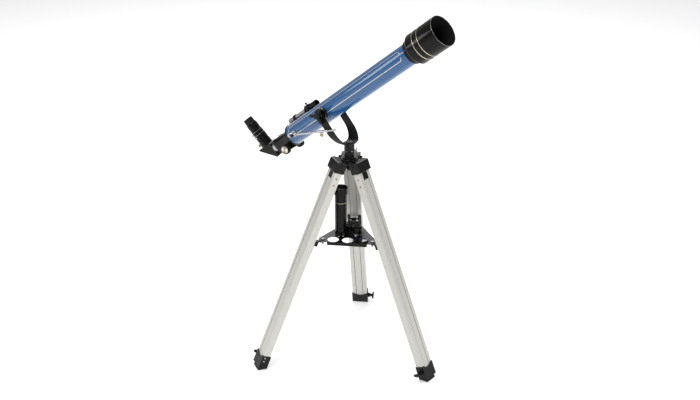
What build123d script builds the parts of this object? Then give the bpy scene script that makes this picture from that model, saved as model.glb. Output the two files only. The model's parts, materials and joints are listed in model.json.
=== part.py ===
"""Small refracting telescope on a yoke mount and an aluminium tripod.

Units are millimetres. The origin is on the ground under the pier, +Z is up and the back leg
stands towards +Y. Lengths along the optical tube are measured from the rear end of the main
tube, forwards; heights across it are measured upwards from the optical axis.
"""

from build123d import *
import math
import os

# ---------------------------------------------------------------- driving dimensions
fit_gap = 0.08          # radial clearance of a running or sliding fit
body_gap = 0.3          # clearance between pieces that move past each other

# tripod
hinge_height = 628.0
hinge_radius = 34.0
foot_radius = 297.0
leg_angles = {"back": 90.0, "left": 210.0, "right": 330.0}
rail_start = 14.5
leg_width = 46.6
leg_depth = 23.0
rail_wall = 2.0
rail_width = 12.1
inner_leg_start = 47.0
inner_leg_gap = 1.2
inner_leg_width = leg_width - 2 * (rail_width + inner_leg_gap)
foot_length = 12.85
leg_length = math.hypot(foot_radius - hinge_radius, hinge_height)
inner_leg_end = leg_length - foot_length
rail_end = inner_leg_end - 23.0
boot_start = rail_end - 12.0
boot_length = 41.0
boot_width = leg_width + 3.9
boot_depth = leg_depth + 5.0
lock_screw_station = boot_start + 19.0

# head and pier
hub_radius = 25.0
hub_half_height = 13.0
hub_bottom = hinge_height - hub_half_height
head_top = hinge_height + hub_half_height
cheek_wall = 4.5
pier_radius = 15.0
pier_height = 41.0
pier_top = head_top + pier_height
azimuth_shaft_radius = 8.0
azimuth_neck_radius = 6.0
azimuth_lock_height = pier_top - 18.0

# tray
tray_height = 389.5
tray_sheet = 1.4
tray_side_distance = 58.0
tray_corner_distance = 94.0
tray_lip_drop = 9.0
tray_bolt_radius = 85.0
tray_hole_radius = 17.0
tray_hole_row = -38.3
tray_hole_pitch = 43.4

# optical tube
tube_length = 523.0
tube_radius = 32.0
tube_wall = 1.2
axis_station = 162.0
lens_radius = tube_radius - 1.0
cell_radius = tube_radius + 4.0
cell_length = 34.0
shade_radius = cell_radius + 9.7
shade_wall = 1.8
shade_gap = 7.0
shade_length = 110.0
shade_start = tube_length + shade_gap
shade_end = shade_start + shade_length

# yoke
tube_heading = -26.7
tube_altitude = 39.3
trunnion_reach = 12.0
yoke_gap_half = tube_radius + trunnion_reach
yoke_strap = 4.5
yoke_strap_width = 23.5
yoke_bend = 38.0
axis_rise = 88.8
axis_set_back = 72.1
altitude_stud_radius = 4.0
rod_stud_rise = 50.0

# focuser and diagonal
drawtube_radius = 17.5
barrel_radius = 15.875
focuser_length = 74.0
drawtube_rear = -85.5
drawtube_front = 30.0
pinion_station = -29.0
rack_height = 8.0
pinion_drop = drawtube_radius + rack_height
pinion_radius = 5.0
focus_shaft_radius = 3.0
focus_knob_radius = 15.0
diagonal_station = -110.5
diagonal_half = 19.0
diagonal_turn = 10.0

# finder
finder_stand = 23.2
finder_lean = math.radians(42.1)
finder_side = (tube_radius + finder_stand) * math.sin(finder_lean)
finder_rise = (tube_radius + finder_stand) * math.cos(finder_lean)
finder_tube_radius = 7.0
finder_cell_radius = 10.6

# slow motion rod
rod_station = 32.0
rod_stand_off = 6.5
rod_side = yoke_gap_half + yoke_strap + rod_stand_off
rod_radius = 2.5
rod_length = 171.0

# ---------------------------------------------------------------- frames
up = Vector(0, 0, 1)
heading = Vector(math.cos(math.radians(tube_heading)), math.sin(math.radians(tube_heading)), 0)
far_side = up.cross(heading)
near_side = far_side * -1
tube_axis = heading * math.cos(math.radians(tube_altitude)) + up * math.sin(math.radians(tube_altitude))
tube_up = tube_axis.cross(far_side)
altitude_centre = heading * -axis_set_back + up * (pier_top + body_gap + axis_rise)
rear_end = altitude_centre - tube_axis * axis_station

tube_side_plane = Plane(origin=rear_end, x_dir=tube_axis, z_dir=near_side)
finder_plane = Plane(
    origin=rear_end + far_side * finder_side + tube_up * finder_rise,
    x_dir=tube_axis,
    z_dir=near_side,
)
diagonal_centre = rear_end + tube_axis * diagonal_station
turn = math.radians(diagonal_turn)
eyepiece_up = tube_up * math.cos(turn) + near_side * math.sin(turn)
diagonal_side = near_side * math.cos(turn) - tube_up * math.sin(turn)
diagonal_plane = Plane(origin=diagonal_centre, x_dir=tube_axis, z_dir=diagonal_side)
eyepiece_plane = Plane(origin=diagonal_centre, x_dir=eyepiece_up, z_dir=diagonal_side)

pieces = {}


def across_tube(station, side=0.0, rise=0.0):
    """Plane square to the optical tube: x is the far side, y is up, z is forwards."""
    return Plane(
        origin=rear_end + tube_axis * station + far_side * side + tube_up * rise,
        x_dir=far_side,
        z_dir=tube_axis,
    )


def beside_tube(station, side, rise=0.0, towards=1):
    """Plane facing the far side (towards 1) or the near side (-1); x is forwards."""
    return Plane(
        origin=rear_end + tube_axis * station + far_side * side + tube_up * rise,
        x_dir=tube_axis,
        z_dir=far_side * towards,
    )


def turned(plane, outline):
    """Solid of revolution about the plane's x axis, from (station, radius) points."""
    with BuildPart() as piece:
        with BuildSketch(plane):
            with BuildLine():
                Polyline(outline, close=True)
            make_face()
        revolve(axis=Axis(plane.origin, plane.x_dir))
    return piece.part


def ring(plane, start, end, inner, outer):
    """Plain ring about the plane's x axis."""
    return turned(plane, [(start, inner), (start, outer), (end, outer), (end, inner)])


def lens(plane, rear, front, edge_radius, rear_bulge, front_bulge):
    """Lens about the plane's x axis: two arcs joined by a flat rim and a straight edge."""
    rim = edge_radius - 1.0

    def halfway(sag):
        """Depth and radius of the point halfway round a cap that is sag deep at the rim."""
        curve = (rim**2 + sag**2) / (2 * abs(sag))
        angle = math.asin(rim / curve) / 2
        depth = abs(sag) - curve * (1 - math.cos(angle))
        return math.copysign(depth, sag), curve * math.sin(angle)

    front_depth, front_half = halfway(front_bulge)
    rear_depth, rear_half = halfway(rear_bulge)
    with BuildPart() as piece:
        with BuildSketch(plane):
            with BuildLine():
                Line((rear - rear_bulge, 0), (front + front_bulge, 0))
                ThreePointArc((front + front_bulge, 0), (front + front_depth, front_half), (front, rim))
                Polyline((front, rim), (front, edge_radius), (rear, edge_radius), (rear, rim))
                ThreePointArc((rear, rim), (rear - rear_depth, rear_half), (rear - rear_bulge, 0))
            make_face()
        revolve(axis=Axis(plane.origin, plane.x_dir))
    return piece.part


def post(plane, radius, length, mode=Mode.ADD):
    """Round bar or hole along the plane's normal, inside an open BuildPart."""
    with BuildSketch(plane) as outline:
        Circle(radius)
    extrude(outline.sketch, amount=length, mode=mode)


def block(plane, width, height, length, mode=Mode.ADD):
    """Rectangular bar or cut along the plane's normal, inside an open BuildPart."""
    with BuildSketch(plane) as outline:
        Rectangle(width, height)
    extrude(outline.sketch, amount=length, mode=mode)


def wing_knob(plane, start, radius, thickness, lobes=2, lobe_radius=3.5, first_angle=90.0):
    """Winged grip across the plane's normal, inside an open BuildPart."""
    for turn in range(lobes):
        angle = math.radians(first_angle + turn * 360 / lobes)
        tip = (math.cos(angle) * radius, math.sin(angle) * radius)
        with BuildSketch(plane.offset(start)) as wing:
            Circle(lobe_radius * 1.25)
            with Locations(tip):
                Circle(lobe_radius)
            make_hull()
        extrude(wing.sketch, amount=thickness)


# ---------------------------------------------------------------- legs
class Leg:
    """Directions and planes of one leg; stations run down the leg from its hinge."""

    def __init__(self, angle):
        self.radial = Vector(math.cos(math.radians(angle)), math.sin(math.radians(angle)), 0)
        self.tangent = up.cross(self.radial)
        self.hinge = self.radial * hinge_radius + up * hinge_height
        self.down = (self.radial * foot_radius - self.hinge).normalized()
        self.outward = self.down.cross(self.tangent)

    def section(self, station, across=0.0, out=0.0):
        """Plane square to the leg: x is the tangent, y is outwards, z runs down the leg."""
        origin = self.hinge + self.down * station + self.tangent * across + self.outward * out
        return Plane(origin=origin, x_dir=self.tangent, z_dir=self.down)

    def side(self, station, across=0.0, out=0.0, towards=1):
        """Plane whose normal is the tangent (or against it); x runs down the leg."""
        origin = self.hinge + self.down * station + self.tangent * across + self.outward * out
        return Plane(origin=origin, x_dir=self.down, z_dir=self.tangent * towards)


legs = {name: Leg(angle) for name, angle in leg_angles.items()}
flange_gap = leg_width / 2 - rail_width
channel_depth = leg_depth - 2 * rail_wall
tongue_width = leg_width - 2 * rail_wall - 1.6
tongue_depth = channel_depth - 2 * body_gap

with BuildPart() as leg_rails:
    for leg in legs.values():
        for hand in (-1, 1):
            centre = hand * (leg_width - rail_width) / 2
            with BuildSketch(leg.section(rail_start)) as channel:
                with Locations((centre, 0)):
                    Rectangle(rail_width, leg_depth)
                with Locations((centre - hand * rail_wall, 0)):
                    Rectangle(rail_width, channel_depth, mode=Mode.SUBTRACT)
            extrude(channel.sketch, amount=rail_end - rail_start)
pieces["leg_rails"] = leg_rails.part

block_depth = leg_depth - 2.0
hinge_bolt_radius = 3.0
block_top = -6.0
block_tongue_end = 72.0
block_web_end = 44.0
with BuildPart() as hinge_blocks:
    for leg in legs.values():
        block(leg.section(block_top), leg_width, block_depth, rail_start - 0.5 - block_top)
        block(leg.section(0), tongue_width, tongue_depth, block_tongue_end)
        block(leg.section(0), 2 * flange_gap - 1.4, block_depth, block_web_end)
        slot_plane = leg.section(block_web_end)
        block(slot_plane, inner_leg_width + 4 * body_gap, leg_depth, block_tongue_end, Mode.SUBTRACT)
        post(leg.side(0, -leg_width), hinge_bolt_radius + fit_gap, 2 * leg_width, Mode.SUBTRACT)
pieces["hinge_blocks"] = hinge_blocks.part

for name, leg in legs.items():
    with BuildPart() as inner_leg:
        length = inner_leg_end - inner_leg_start
        rib_start = block_tongue_end + 3.0
        bore_length = length - 20
        block(leg.section(inner_leg_start), inner_leg_width, leg_depth - 1.0, length)
        block(leg.section(rib_start), tongue_width, tongue_depth, inner_leg_end - rib_start)
        bore = leg.section(inner_leg_start - 1)
        block(bore, inner_leg_width - 4, leg_depth - 5, bore_length, Mode.SUBTRACT)
    pieces[f"inner_leg_{name}"] = inner_leg.part

    with BuildPart() as boot:
        rail_room = 2 * fit_gap
        saddle = 24.0
        saddle_depth = 8.0
        block(leg.section(boot_start), boot_width, boot_depth, boot_length)
        screw_room = leg.side(lock_screw_station, -boot_width / 2 - 8)
        post(screw_room, 7.0, 9.0)
        block(leg.section(boot_start - 1), leg_width + rail_room, leg_depth + rail_room,
              rail_end - boot_start + 1, Mode.SUBTRACT)
        block(leg.section(rail_end - 1), tongue_width + 1.2, leg_depth - 0.2, 60, Mode.SUBTRACT)
        with BuildSketch(Plane(
            origin=leg.hinge + leg.down * (boot_start + saddle_depth - saddle) - leg.outward * 40,
            x_dir=leg.tangent,
            z_dir=leg.outward,
        )) as notch:
            Circle(saddle)
        extrude(notch.sketch, amount=80, mode=Mode.SUBTRACT)
        post(screw_room.offset(-1), 2.5 + fit_gap, 20, Mode.SUBTRACT)
    pieces[f"boot_{name}"] = boot.part

    with BuildPart() as foot:
        block(leg.section(inner_leg_end), tongue_width - 1, tongue_depth + 1, 30)
        split(bisect_by=Plane.XY, keep=Keep.TOP)
    pieces[f"foot_{name}"] = foot.part

    with BuildPart() as lock_screw:
        outer = leg.side(lock_screw_station, -boot_width / 2 - 8.4, towards=-1)
        screw_reach = boot_width / 2 + 8.4 - tongue_width / 2 - 0.6
        post(outer.offset(-screw_reach), 2.5, screw_reach + 2)
        post(outer, 4.6, 7.0)
        wing_knob(outer, 6.0, 9.5, 5.0, lobe_radius=4.0)
    pieces[f"lock_screw_{name}"] = lock_screw.part

# ---------------------------------------------------------------- head and pier
socket_top = -11.0
roof_thickness = 4.5
socket_end = 24.0
socket_depth = leg_depth + 10.0
socket_width = leg_width + 2 * cheek_wall + 2 * body_gap
with BuildPart() as tripod_head:
    post(Plane.XY.offset(hub_bottom), hub_radius, head_top - hub_bottom)
    for leg in legs.values():
        block(leg.section(socket_top, out=1.0), socket_width, socket_depth, socket_end - socket_top)
    for leg in legs.values():
        room = leg_width + 2 * body_gap
        inward = 9.0
        depth = leg_depth + inward + 2 * body_gap
        roof = socket_top + roof_thickness
        block(leg.section(roof, out=-inward / 2), room, depth, 60, Mode.SUBTRACT)
        post(leg.side(0, -socket_width), hinge_bolt_radius, 2 * socket_width, Mode.SUBTRACT)
    split(bisect_by=Plane.XY.offset(head_top), keep=Keep.BOTTOM)
    post(Plane.XY.offset(hub_bottom - 1), azimuth_shaft_radius + fit_gap, 80, Mode.SUBTRACT)
pieces["tripod_head"] = tripod_head.part

with BuildPart() as hinge_bolts:
    for name, leg in legs.items():
        half = socket_width / 2
        head_length, nut_length = (6.0, 8.0) if name == "back" else (1.6, 1.6)
        post(leg.side(0, -half - 1), hinge_bolt_radius - 0.05, 2 * half + 2)
        post(leg.side(0, half + 0.1), 4.4, nut_length)
        post(leg.side(0, -half - 0.1, towards=-1), 5.2, head_length)
pieces["hinge_bolts"] = hinge_bolts.part

flange_radius = 21.0
flange_height = 4.0
lock_thread = 2.5
with BuildPart() as pier:
    post(Plane.XY.offset(head_top), pier_radius, pier_top - head_top)
    post(Plane.XY.offset(head_top), flange_radius, flange_height)
    post(Plane.XY.offset(head_top - 1), azimuth_shaft_radius + fit_gap, 60, Mode.SUBTRACT)
    lock_plane = Plane(origin=(0, 0, azimuth_lock_height), x_dir=(0, 1, 0), z_dir=(1, 0, 0))
    post(lock_plane, lock_thread + fit_gap, 40, Mode.SUBTRACT)
pieces["pier"] = pier.part

with BuildPart() as azimuth_lock:
    post(lock_plane.offset(azimuth_shaft_radius + 0.5), lock_thread, 14)
    post(lock_plane.offset(pier_radius + 1.5), 3.6, 4)
    wing_knob(lock_plane.offset(pier_radius), 4.5, 7.5, 3.0, lobe_radius=2.8)
pieces["azimuth_lock_screw"] = azimuth_lock.part

# ---------------------------------------------------------------- tray
with BuildPart() as tray:
    with BuildSketch(Plane.XY.offset(tray_height)) as sheet:
        blank = 400.0
        Rectangle(blank, blank)
        for angle in leg_angles.values():
            for turned_by, distance in ((0, tray_corner_distance), (180, tray_side_distance)):
                with PolarLocations(distance + blank / 2, 1, start_angle=angle + turned_by):
                    Rectangle(blank, 2 * blank, mode=Mode.SUBTRACT)
        fillet(sheet.vertices(), radius=5.0)
        with Locations([(tray_hole_pitch * step, tray_hole_row) for step in (-1, 0, 1)]):
            Circle(tray_hole_radius, mode=Mode.SUBTRACT)
        for angle in leg_angles.values():
            with PolarLocations(tray_bolt_radius, 1, start_angle=angle):
                Circle(2.6, mode=Mode.SUBTRACT)
    extrude(sheet.sketch, amount=tray_sheet)
    lip_length = 2 * (tray_corner_distance - tray_side_distance / 2) / math.cos(math.radians(30)) - 31
    with BuildSketch(Plane.XY.offset(tray_height - tray_lip_drop)) as lips:
        for angle in leg_angles.values():
            with PolarLocations(tray_side_distance - tray_sheet / 2, 1, start_angle=angle + 180):
                Rectangle(tray_sheet, lip_length)
    extrude(lips.sketch, amount=tray_lip_drop + tray_sheet / 2)
pieces["tray"] = tray.part

link_top = tray_height - 0.1
link_thickness = 2.6
pin_radius = 2.6
pin_height = link_top - link_thickness / 2
bracket_pin_out = -20.0
any_leg = legs["back"]
bracket_station = (hinge_height - pin_height + bracket_pin_out * any_leg.outward.Z) / -any_leg.down.Z
pin_point = any_leg.hinge + any_leg.down * bracket_station + any_leg.outward * bracket_pin_out
pin_distance = pin_point.dot(any_leg.radial)
ear_gap = leg_width - 20.6
ear_thickness = 3.0
with BuildPart() as tray_brackets:
    for leg in legs.values():
        inner_face = -leg_depth / 2 - 0.1
        for hand in (-1, 1):
            strip = hand * (ear_gap / 2 + 4)
            block(leg.section(bracket_station - 10, strip, inner_face - 1), 8, 2, 44)
            ear = hand * (ear_gap / 2 + ear_thickness / 2)
            block(leg.section(bracket_station - 8, ear, inner_face - 8), ear_thickness, 14, 16)
        pin = leg.side(bracket_station, -ear_gap / 2 - 4.5, out=bracket_pin_out)
        post(pin, pin_radius, ear_gap + 9)
pieces["tray_brackets"] = tray_brackets.part

link_width = ear_gap - 12.0
with BuildPart() as tray_links:
    for leg in legs.values():
        length = pin_distance - tray_bolt_radius
        middle = leg.radial * (tray_bolt_radius + length / 2) + up * (link_top - link_thickness)
        block(Plane(origin=middle, x_dir=leg.radial, z_dir=up), length + 12, link_width, link_thickness)
        eye = Plane(
            origin=leg.radial * pin_distance + up * pin_height - leg.tangent * (link_width / 2),
            x_dir=leg.radial,
            z_dir=leg.tangent,
        )
        post(eye, pin_radius + 2.0, link_width)
        post(eye.offset(-5), pin_radius + fit_gap, 40, Mode.SUBTRACT)
        bolt_hole = Plane(origin=leg.radial * tray_bolt_radius + up * (tray_height - 20), z_dir=up)
        post(bolt_hole, 2.6, 40, Mode.SUBTRACT)
pieces["tray_links"] = tray_links.part

with BuildPart() as tray_bolts:
    for leg in legs.values():
        base = Plane(
            origin=leg.radial * tray_bolt_radius + up * (tray_height + tray_sheet + 0.05),
            x_dir=leg.tangent,
            z_dir=up,
        )
        post(base, 5.0, 3.0)
        post(base.offset(-16), 2.5, 16.5)
        nut = base.offset(-tray_sheet - link_thickness - 5.4)
        post(nut, 4.2, 4.8)
        wing_knob(nut, 0.6, 8.0, 3.0, lobe_radius=2.4)
pieces["tray_bolts"] = tray_bolts.part

tray_top = tray_height + tray_sheet + 0.05


def standing(x, y, outline):
    """Turned piece that stands upright on the tray, from (height, radius) points."""
    return turned(Plane(origin=(x, y, tray_top), x_dir=(0, 0, 1), z_dir=(0, -1, 0)), outline)


spare_tube_place = (-24.0, -8.0)
pieces["spare_tube"] = standing(*spare_tube_place, [
    (0, 0), (0, 16.0), (2, 18.0), (136, 18.0), (136, 14.0), (3, 14.0), (3, 0)])
pieces["spare_tube_cap"] = standing(*spare_tube_place, [
    (136.1, 0), (136.1, 20.4), (138, 21.0), (156, 21.0), (158, 20.0), (158, 17.0), (152, 16.0), (152, 0)])
pieces["spare_eyepiece_short"] = standing(0.0, 12.0, [
    (0, 0), (0, 9.0), (8, 9.0), (8, 11.2), (20, 11.2), (24, 9.5), (24, 0)])
pieces["spare_eyepiece_long"] = standing(26.0, -9.0, [
    (0, 0), (0, 12.8), (12, 12.8), (12, 14.5), (30, 14.5), (36, 11.5), (36, 7.0), (34, 6.0), (34, 0)])
disc_radius = tray_hole_radius - body_gap
pieces["filter_disc"] = turned(
    Plane(origin=(tray_hole_pitch, tray_hole_row, tray_top), x_dir=(0, 0, 1), z_dir=(0, -1, 0)),
    [(-4.5, 0), (-4.5, disc_radius), (0, disc_radius), (0, disc_radius + 2.2), (3.6, disc_radius + 2.2),
     (4.6, disc_radius), (4.6, disc_radius - 4), (3.2, disc_radius - 4), (3.2, 0)])

# ---------------------------------------------------------------- yoke
yoke_base = pier_top + body_gap
yoke_front = Plane(origin=(0, 0, yoke_base), x_dir=far_side, z_dir=heading)
yoke_side = Plane(origin=(0, 0, yoke_base), x_dir=heading, z_dir=near_side)
arm_top = axis_rise + 71.2
arm_half = yoke_gap_half + yoke_strap
with BuildPart() as yoke:
    with BuildSketch(yoke_front) as bend:
        with Locations((0, arm_top / 2)):
            Rectangle(2 * arm_half, arm_top)
        fillet(bend.vertices().sort_by(Axis.Y)[:2], radius=yoke_bend + yoke_strap)
    extrude(bend.sketch, amount=150, both=True)
    with BuildSketch(yoke_front) as gap:
        with Locations((0, yoke_strap + arm_top / 2)):
            Rectangle(2 * yoke_gap_half, arm_top)
        fillet(gap.vertices().sort_by(Axis.Y)[:2], radius=yoke_bend)
    extrude(gap.sketch, amount=151, both=True, mode=Mode.SUBTRACT)
    with BuildSketch(yoke_side.offset(-100)) as lean:
        with Locations((-axis_set_back, axis_rise)):
            Circle(yoke_strap_width / 2)
        with Locations((0, 3)):
            Rectangle(yoke_strap_width + 4, 6)
        make_hull()
    extrude(lean.sketch, amount=200, mode=Mode.INTERSECT)
    post(Plane(origin=(0, 0, yoke_base - 1), z_dir=up), azimuth_neck_radius + fit_gap, 10, Mode.SUBTRACT)
    post(beside_tube(axis_station, -80), altitude_stud_radius + fit_gap, 160, Mode.SUBTRACT)
    rod_stud_back = rod_stud_rise * axis_set_back / axis_rise
    stud_place = heading * -rod_stud_back + up * (yoke_base + rod_stud_rise)
    stud_plane = Plane(origin=stud_place, x_dir=heading, z_dir=near_side)
    post(stud_plane.offset(yoke_gap_half - 2), 2.5, 10, Mode.SUBTRACT)
pieces["yoke"] = yoke.part

with BuildPart() as azimuth_shaft:
    post(Plane.XY.offset(head_top + 2), azimuth_shaft_radius, pier_top - head_top - 1.9)
    post(Plane.XY.offset(head_top + 10), azimuth_neck_radius, yoke_base + yoke_strap + 2 - head_top - 10)
    with BuildSketch(Plane.XY.offset(yoke_base + yoke_strap + 0.02)) as nut_shape:
        RegularPolygon(9.5, 6)
    extrude(nut_shape.sketch, amount=5.0)
pieces["azimuth_shaft"] = azimuth_shaft.part

knob_start = arm_half + 1.8
with BuildPart() as yoke_hardware:
    for towards in (-1, 1):
        washer = beside_tube(axis_station, towards * (arm_half + 0.05), towards=towards)
        with BuildSketch(washer) as washer_shape:
            Circle(9.5)
            Circle(altitude_stud_radius + fit_gap, mode=Mode.SUBTRACT)
        extrude(washer_shape.sketch, amount=1.5)
    post(stud_plane.offset(yoke_gap_half - 1.5), 2.45, 6.6)
    post(stud_plane.offset(arm_half + 0.05), 4.2, 1.0)
pieces["yoke_hardware"] = yoke_hardware.part

for name, towards in (("near", -1), ("far", 1)):
    with BuildPart() as altitude_knob:
        centre = beside_tube(axis_station, 0, towards=towards)
        post(centre.offset(tube_radius + 5), altitude_stud_radius, knob_start - tube_radius)
        post(centre.offset(knob_start), 9.0, 13.0)
        wing_knob(centre.offset(knob_start), 2.0, 22.0, 8.0, lobes=3, lobe_radius=4.4, first_angle=150)
    pieces[f"altitude_knob_{name}"] = altitude_knob.part

# ---------------------------------------------------------------- optical tube
pieces["main_tube"] = ring(tube_side_plane, 0, tube_length, tube_radius - tube_wall, tube_radius)

trunnion_radius = 18.5
with BuildPart() as trunnions:
    for towards in (-1, 1):
        centre = beside_tube(axis_station, 0, towards=towards)
        with BuildSketch(centre.offset(tube_radius - 8)) as boss:
            Circle(trunnion_radius)
        extrude(boss.sketch, amount=yoke_gap_half - tube_radius + 8 - body_gap)
        post(centre.offset(tube_radius + 3), altitude_stud_radius + fit_gap, 40, Mode.SUBTRACT)
    post(across_tube(axis_station - 40), tube_radius + 0.05, 80, Mode.SUBTRACT)
pieces["trunnions"] = trunnions.part

cell_start = tube_length + 29.0 - cell_length
seat = tube_length + 0.3
pieces["lens_cell"] = turned(tube_side_plane, [
    (cell_start, tube_radius + 0.1), (cell_start, cell_radius - 0.8), (cell_start + 0.8, cell_radius),
    (cell_start + cell_length, cell_radius), (cell_start + cell_length, lens_radius + 0.5),
    (seat + 3, lens_radius + 0.5), (seat + 3, lens_radius - 2), (seat, lens_radius - 2),
    (seat, tube_radius + 0.1)])
flint_rear = seat + 3.05
crown_rear = flint_rear + 4.5
flint = lens(tube_side_plane, flint_rear, flint_rear + 3.5, lens_radius, 0.4, -1.6)
crown = lens(tube_side_plane, crown_rear, crown_rear + 3.2, lens_radius, 1.2, 1.9)
pieces["objective_lenses"] = Compound([flint.solid(), crown.solid()])
with BuildPart() as inner_rings:
    with BuildSketch(across_tube(flint_rear + 3.52)) as spacer:
        Circle(lens_radius)
        Circle(lens_radius - 0.9, mode=Mode.SUBTRACT)
    extrude(spacer.sketch, amount=0.95)
    with BuildSketch(across_tube(crown_rear + 3.25)) as retainer:
        Circle(lens_radius + 0.4)
        Circle(lens_radius - 0.9, mode=Mode.SUBTRACT)
    extrude(retainer.sketch, amount=5.0)
    for set_back, opening in ((333, 17.0), (193, 22.0), (73, 26.0)):
        with BuildSketch(across_tube(tube_length - set_back)) as stop:
            Circle(tube_radius - tube_wall - 0.12)
            Circle(opening, mode=Mode.SUBTRACT)
        extrude(stop.sketch, amount=1.0)
pieces["inner_rings"] = inner_rings.part

shade_bore = cell_radius + fit_gap
shade_inner_start = cell_start + cell_length + 0.5
pieces["dew_shield"] = turned(tube_side_plane, [
    (shade_start, shade_bore), (shade_start, cell_radius + 3.6), (shade_start + 8, shade_radius),
    (shade_end - 0.6, shade_radius), (shade_end, shade_radius - 0.6),
    (shade_end, shade_radius - shade_wall),
    (shade_inner_start, shade_radius - shade_wall), (shade_inner_start - 3.5, cell_radius + 1.8),
    (shade_inner_start - 3.5, shade_bore)])
with BuildPart() as shade_trim:
    for set_back in (57.3, 76.1):
        station = shade_end - set_back
        with BuildSketch(across_tube(station)) as band:
            Circle(shade_radius + 0.45)
            Circle(shade_radius + 0.02, mode=Mode.SUBTRACT)
        extrude(band.sketch, amount=1.8)
pieces["shade_trim_rings"] = shade_trim.part

# ---------------------------------------------------------------- focuser
rack_half = 4.0
housing_radius = drawtube_radius + 4.5
rack_bottom = pinion_drop - pinion_radius - 0.2
housing_half = 20.0
with BuildPart() as focuser:
    with BuildSketch(tube_side_plane):
        with BuildLine():
            Polyline(
                (-focuser_length, 0), (-focuser_length, housing_radius - 1),
                (-focuser_length + 1, housing_radius), (-14, housing_radius), (-7, housing_radius + 3),
                (-4, tube_radius), (-4, tube_radius + 1.2), (-0.05, tube_radius + 1.2),
                (-0.05, tube_radius - tube_wall - 0.1), (12, tube_radius - tube_wall - 0.1), (12, 0),
                close=True)
        make_face()
    revolve(axis=Axis(tube_side_plane.origin, tube_side_plane.x_dir))
    block(beside_tube(pinion_station, -housing_half, -pinion_drop + 4), 26, 22, 2 * housing_half)
    block(beside_tube(-15, -11, -pinion_drop + 5), 22, 14, 22)
    post(across_tube(-90), drawtube_radius + fit_gap, 130, Mode.SUBTRACT)
    post(across_tube(-2), tube_radius - tube_wall - 3, 40, Mode.SUBTRACT)
    block(across_tube(-90, rise=-(drawtube_radius + rack_bottom) / 2), 2 * rack_half + 0.8,
          rack_bottom - drawtube_radius + 4, 130, Mode.SUBTRACT)
    pinion_room = beside_tube(pinion_station, -rack_half - 2, -pinion_drop + 2)
    block(pinion_room, 13, 15.5, 2 * rack_half + 4, Mode.SUBTRACT)
    post(beside_tube(pinion_station, -60, -pinion_drop), focus_shaft_radius + fit_gap, 120, Mode.SUBTRACT)
pieces["focuser_body"] = focuser.part

with BuildPart() as focuser_screws:
    for angle in (90, 210, 330):
        spot = math.radians(angle)
        out = far_side * math.cos(spot) + tube_up * math.sin(spot)
        place = rear_end + tube_axis * 6 + out * (tube_radius + 0.05)
        post(Plane(origin=place, z_dir=out), 2.3, 1.4)
    for station in (-56, -46):
        place = rear_end + tube_axis * station + tube_up * (housing_radius + 0.05)
        post(Plane(origin=place, z_dir=tube_up), 2.2, 2.4)
pieces["focuser_screws"] = focuser_screws.part

with BuildPart() as drawtube:
    with BuildSketch(tube_side_plane):
        with BuildLine():
            Polyline(
                (drawtube_rear, barrel_radius + fit_gap), (drawtube_rear, drawtube_radius),
                (drawtube_front, drawtube_radius), (drawtube_front, drawtube_radius - 2.2),
                (-40, drawtube_radius - 2.2), (-40, barrel_radius + fit_gap), close=True)
        make_face()
    revolve(axis=Axis(tube_side_plane.origin, tube_side_plane.x_dir))
    block(across_tube(drawtube_rear + 6, rise=-(drawtube_radius - 0.8 + rack_bottom) / 2), 2 * rack_half,
          rack_bottom - drawtube_radius + 0.8, drawtube_front - drawtube_rear - 12)
pieces["drawtube"] = drawtube.part

with BuildPart() as focus_shaft:
    post(beside_tube(pinion_station, -40, -pinion_drop), focus_shaft_radius, 80)
    post(beside_tube(pinion_station, -rack_half, -pinion_drop), pinion_radius, 2 * rack_half)
pieces["focus_shaft"] = focus_shaft.part

knob_width = 13.0
knob_inner = 27.5
with BuildPart() as focus_knobs:
    for towards in (-1, 1):
        face = beside_tube(pinion_station, towards * knob_inner, -pinion_drop, towards)
        with BuildSketch(face) as grip:
            Circle(focus_knob_radius)
            Circle(focus_shaft_radius + 0.02, mode=Mode.SUBTRACT)
            with PolarLocations(focus_knob_radius + 0.5, 24):
                Circle(1.1, mode=Mode.SUBTRACT)
        extrude(grip.sketch, amount=knob_width)
        post(face.offset(-3.5), 6.5, 3.6)
        post(face.offset(-4), focus_shaft_radius + 0.02, 5, Mode.SUBTRACT)
pieces["focus_knobs"] = focus_knobs.part
with BuildPart() as knob_discs:
    for towards in (-1, 1):
        side = towards * (knob_inner + knob_width + 0.02)
        face = beside_tube(pinion_station, side, -pinion_drop, towards)
        post(face, 11.5, 1.2)
pieces["knob_discs"] = knob_discs.part

# ---------------------------------------------------------------- diagonal and eyepiece
leg_of_prism = 16.0
prism_half_width = 15.2
wedge_half_width = 17.0
toe = 7.0
fin = 11.5
back_wall = 3.0
barrel_top = 40.0
barrel_start = diagonal_half + 2.0
erecting_top = 76.0
socket_floor = erecting_top - 18.0
cup_base = 103.0
cup_top = 120.0


def above_diagonal(height):
    """Plane square to the eyepiece, at a height above the centre of the diagonal."""
    return Plane(origin=diagonal_centre + eyepiece_up * height, x_dir=tube_axis, z_dir=eyepiece_up)


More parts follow.
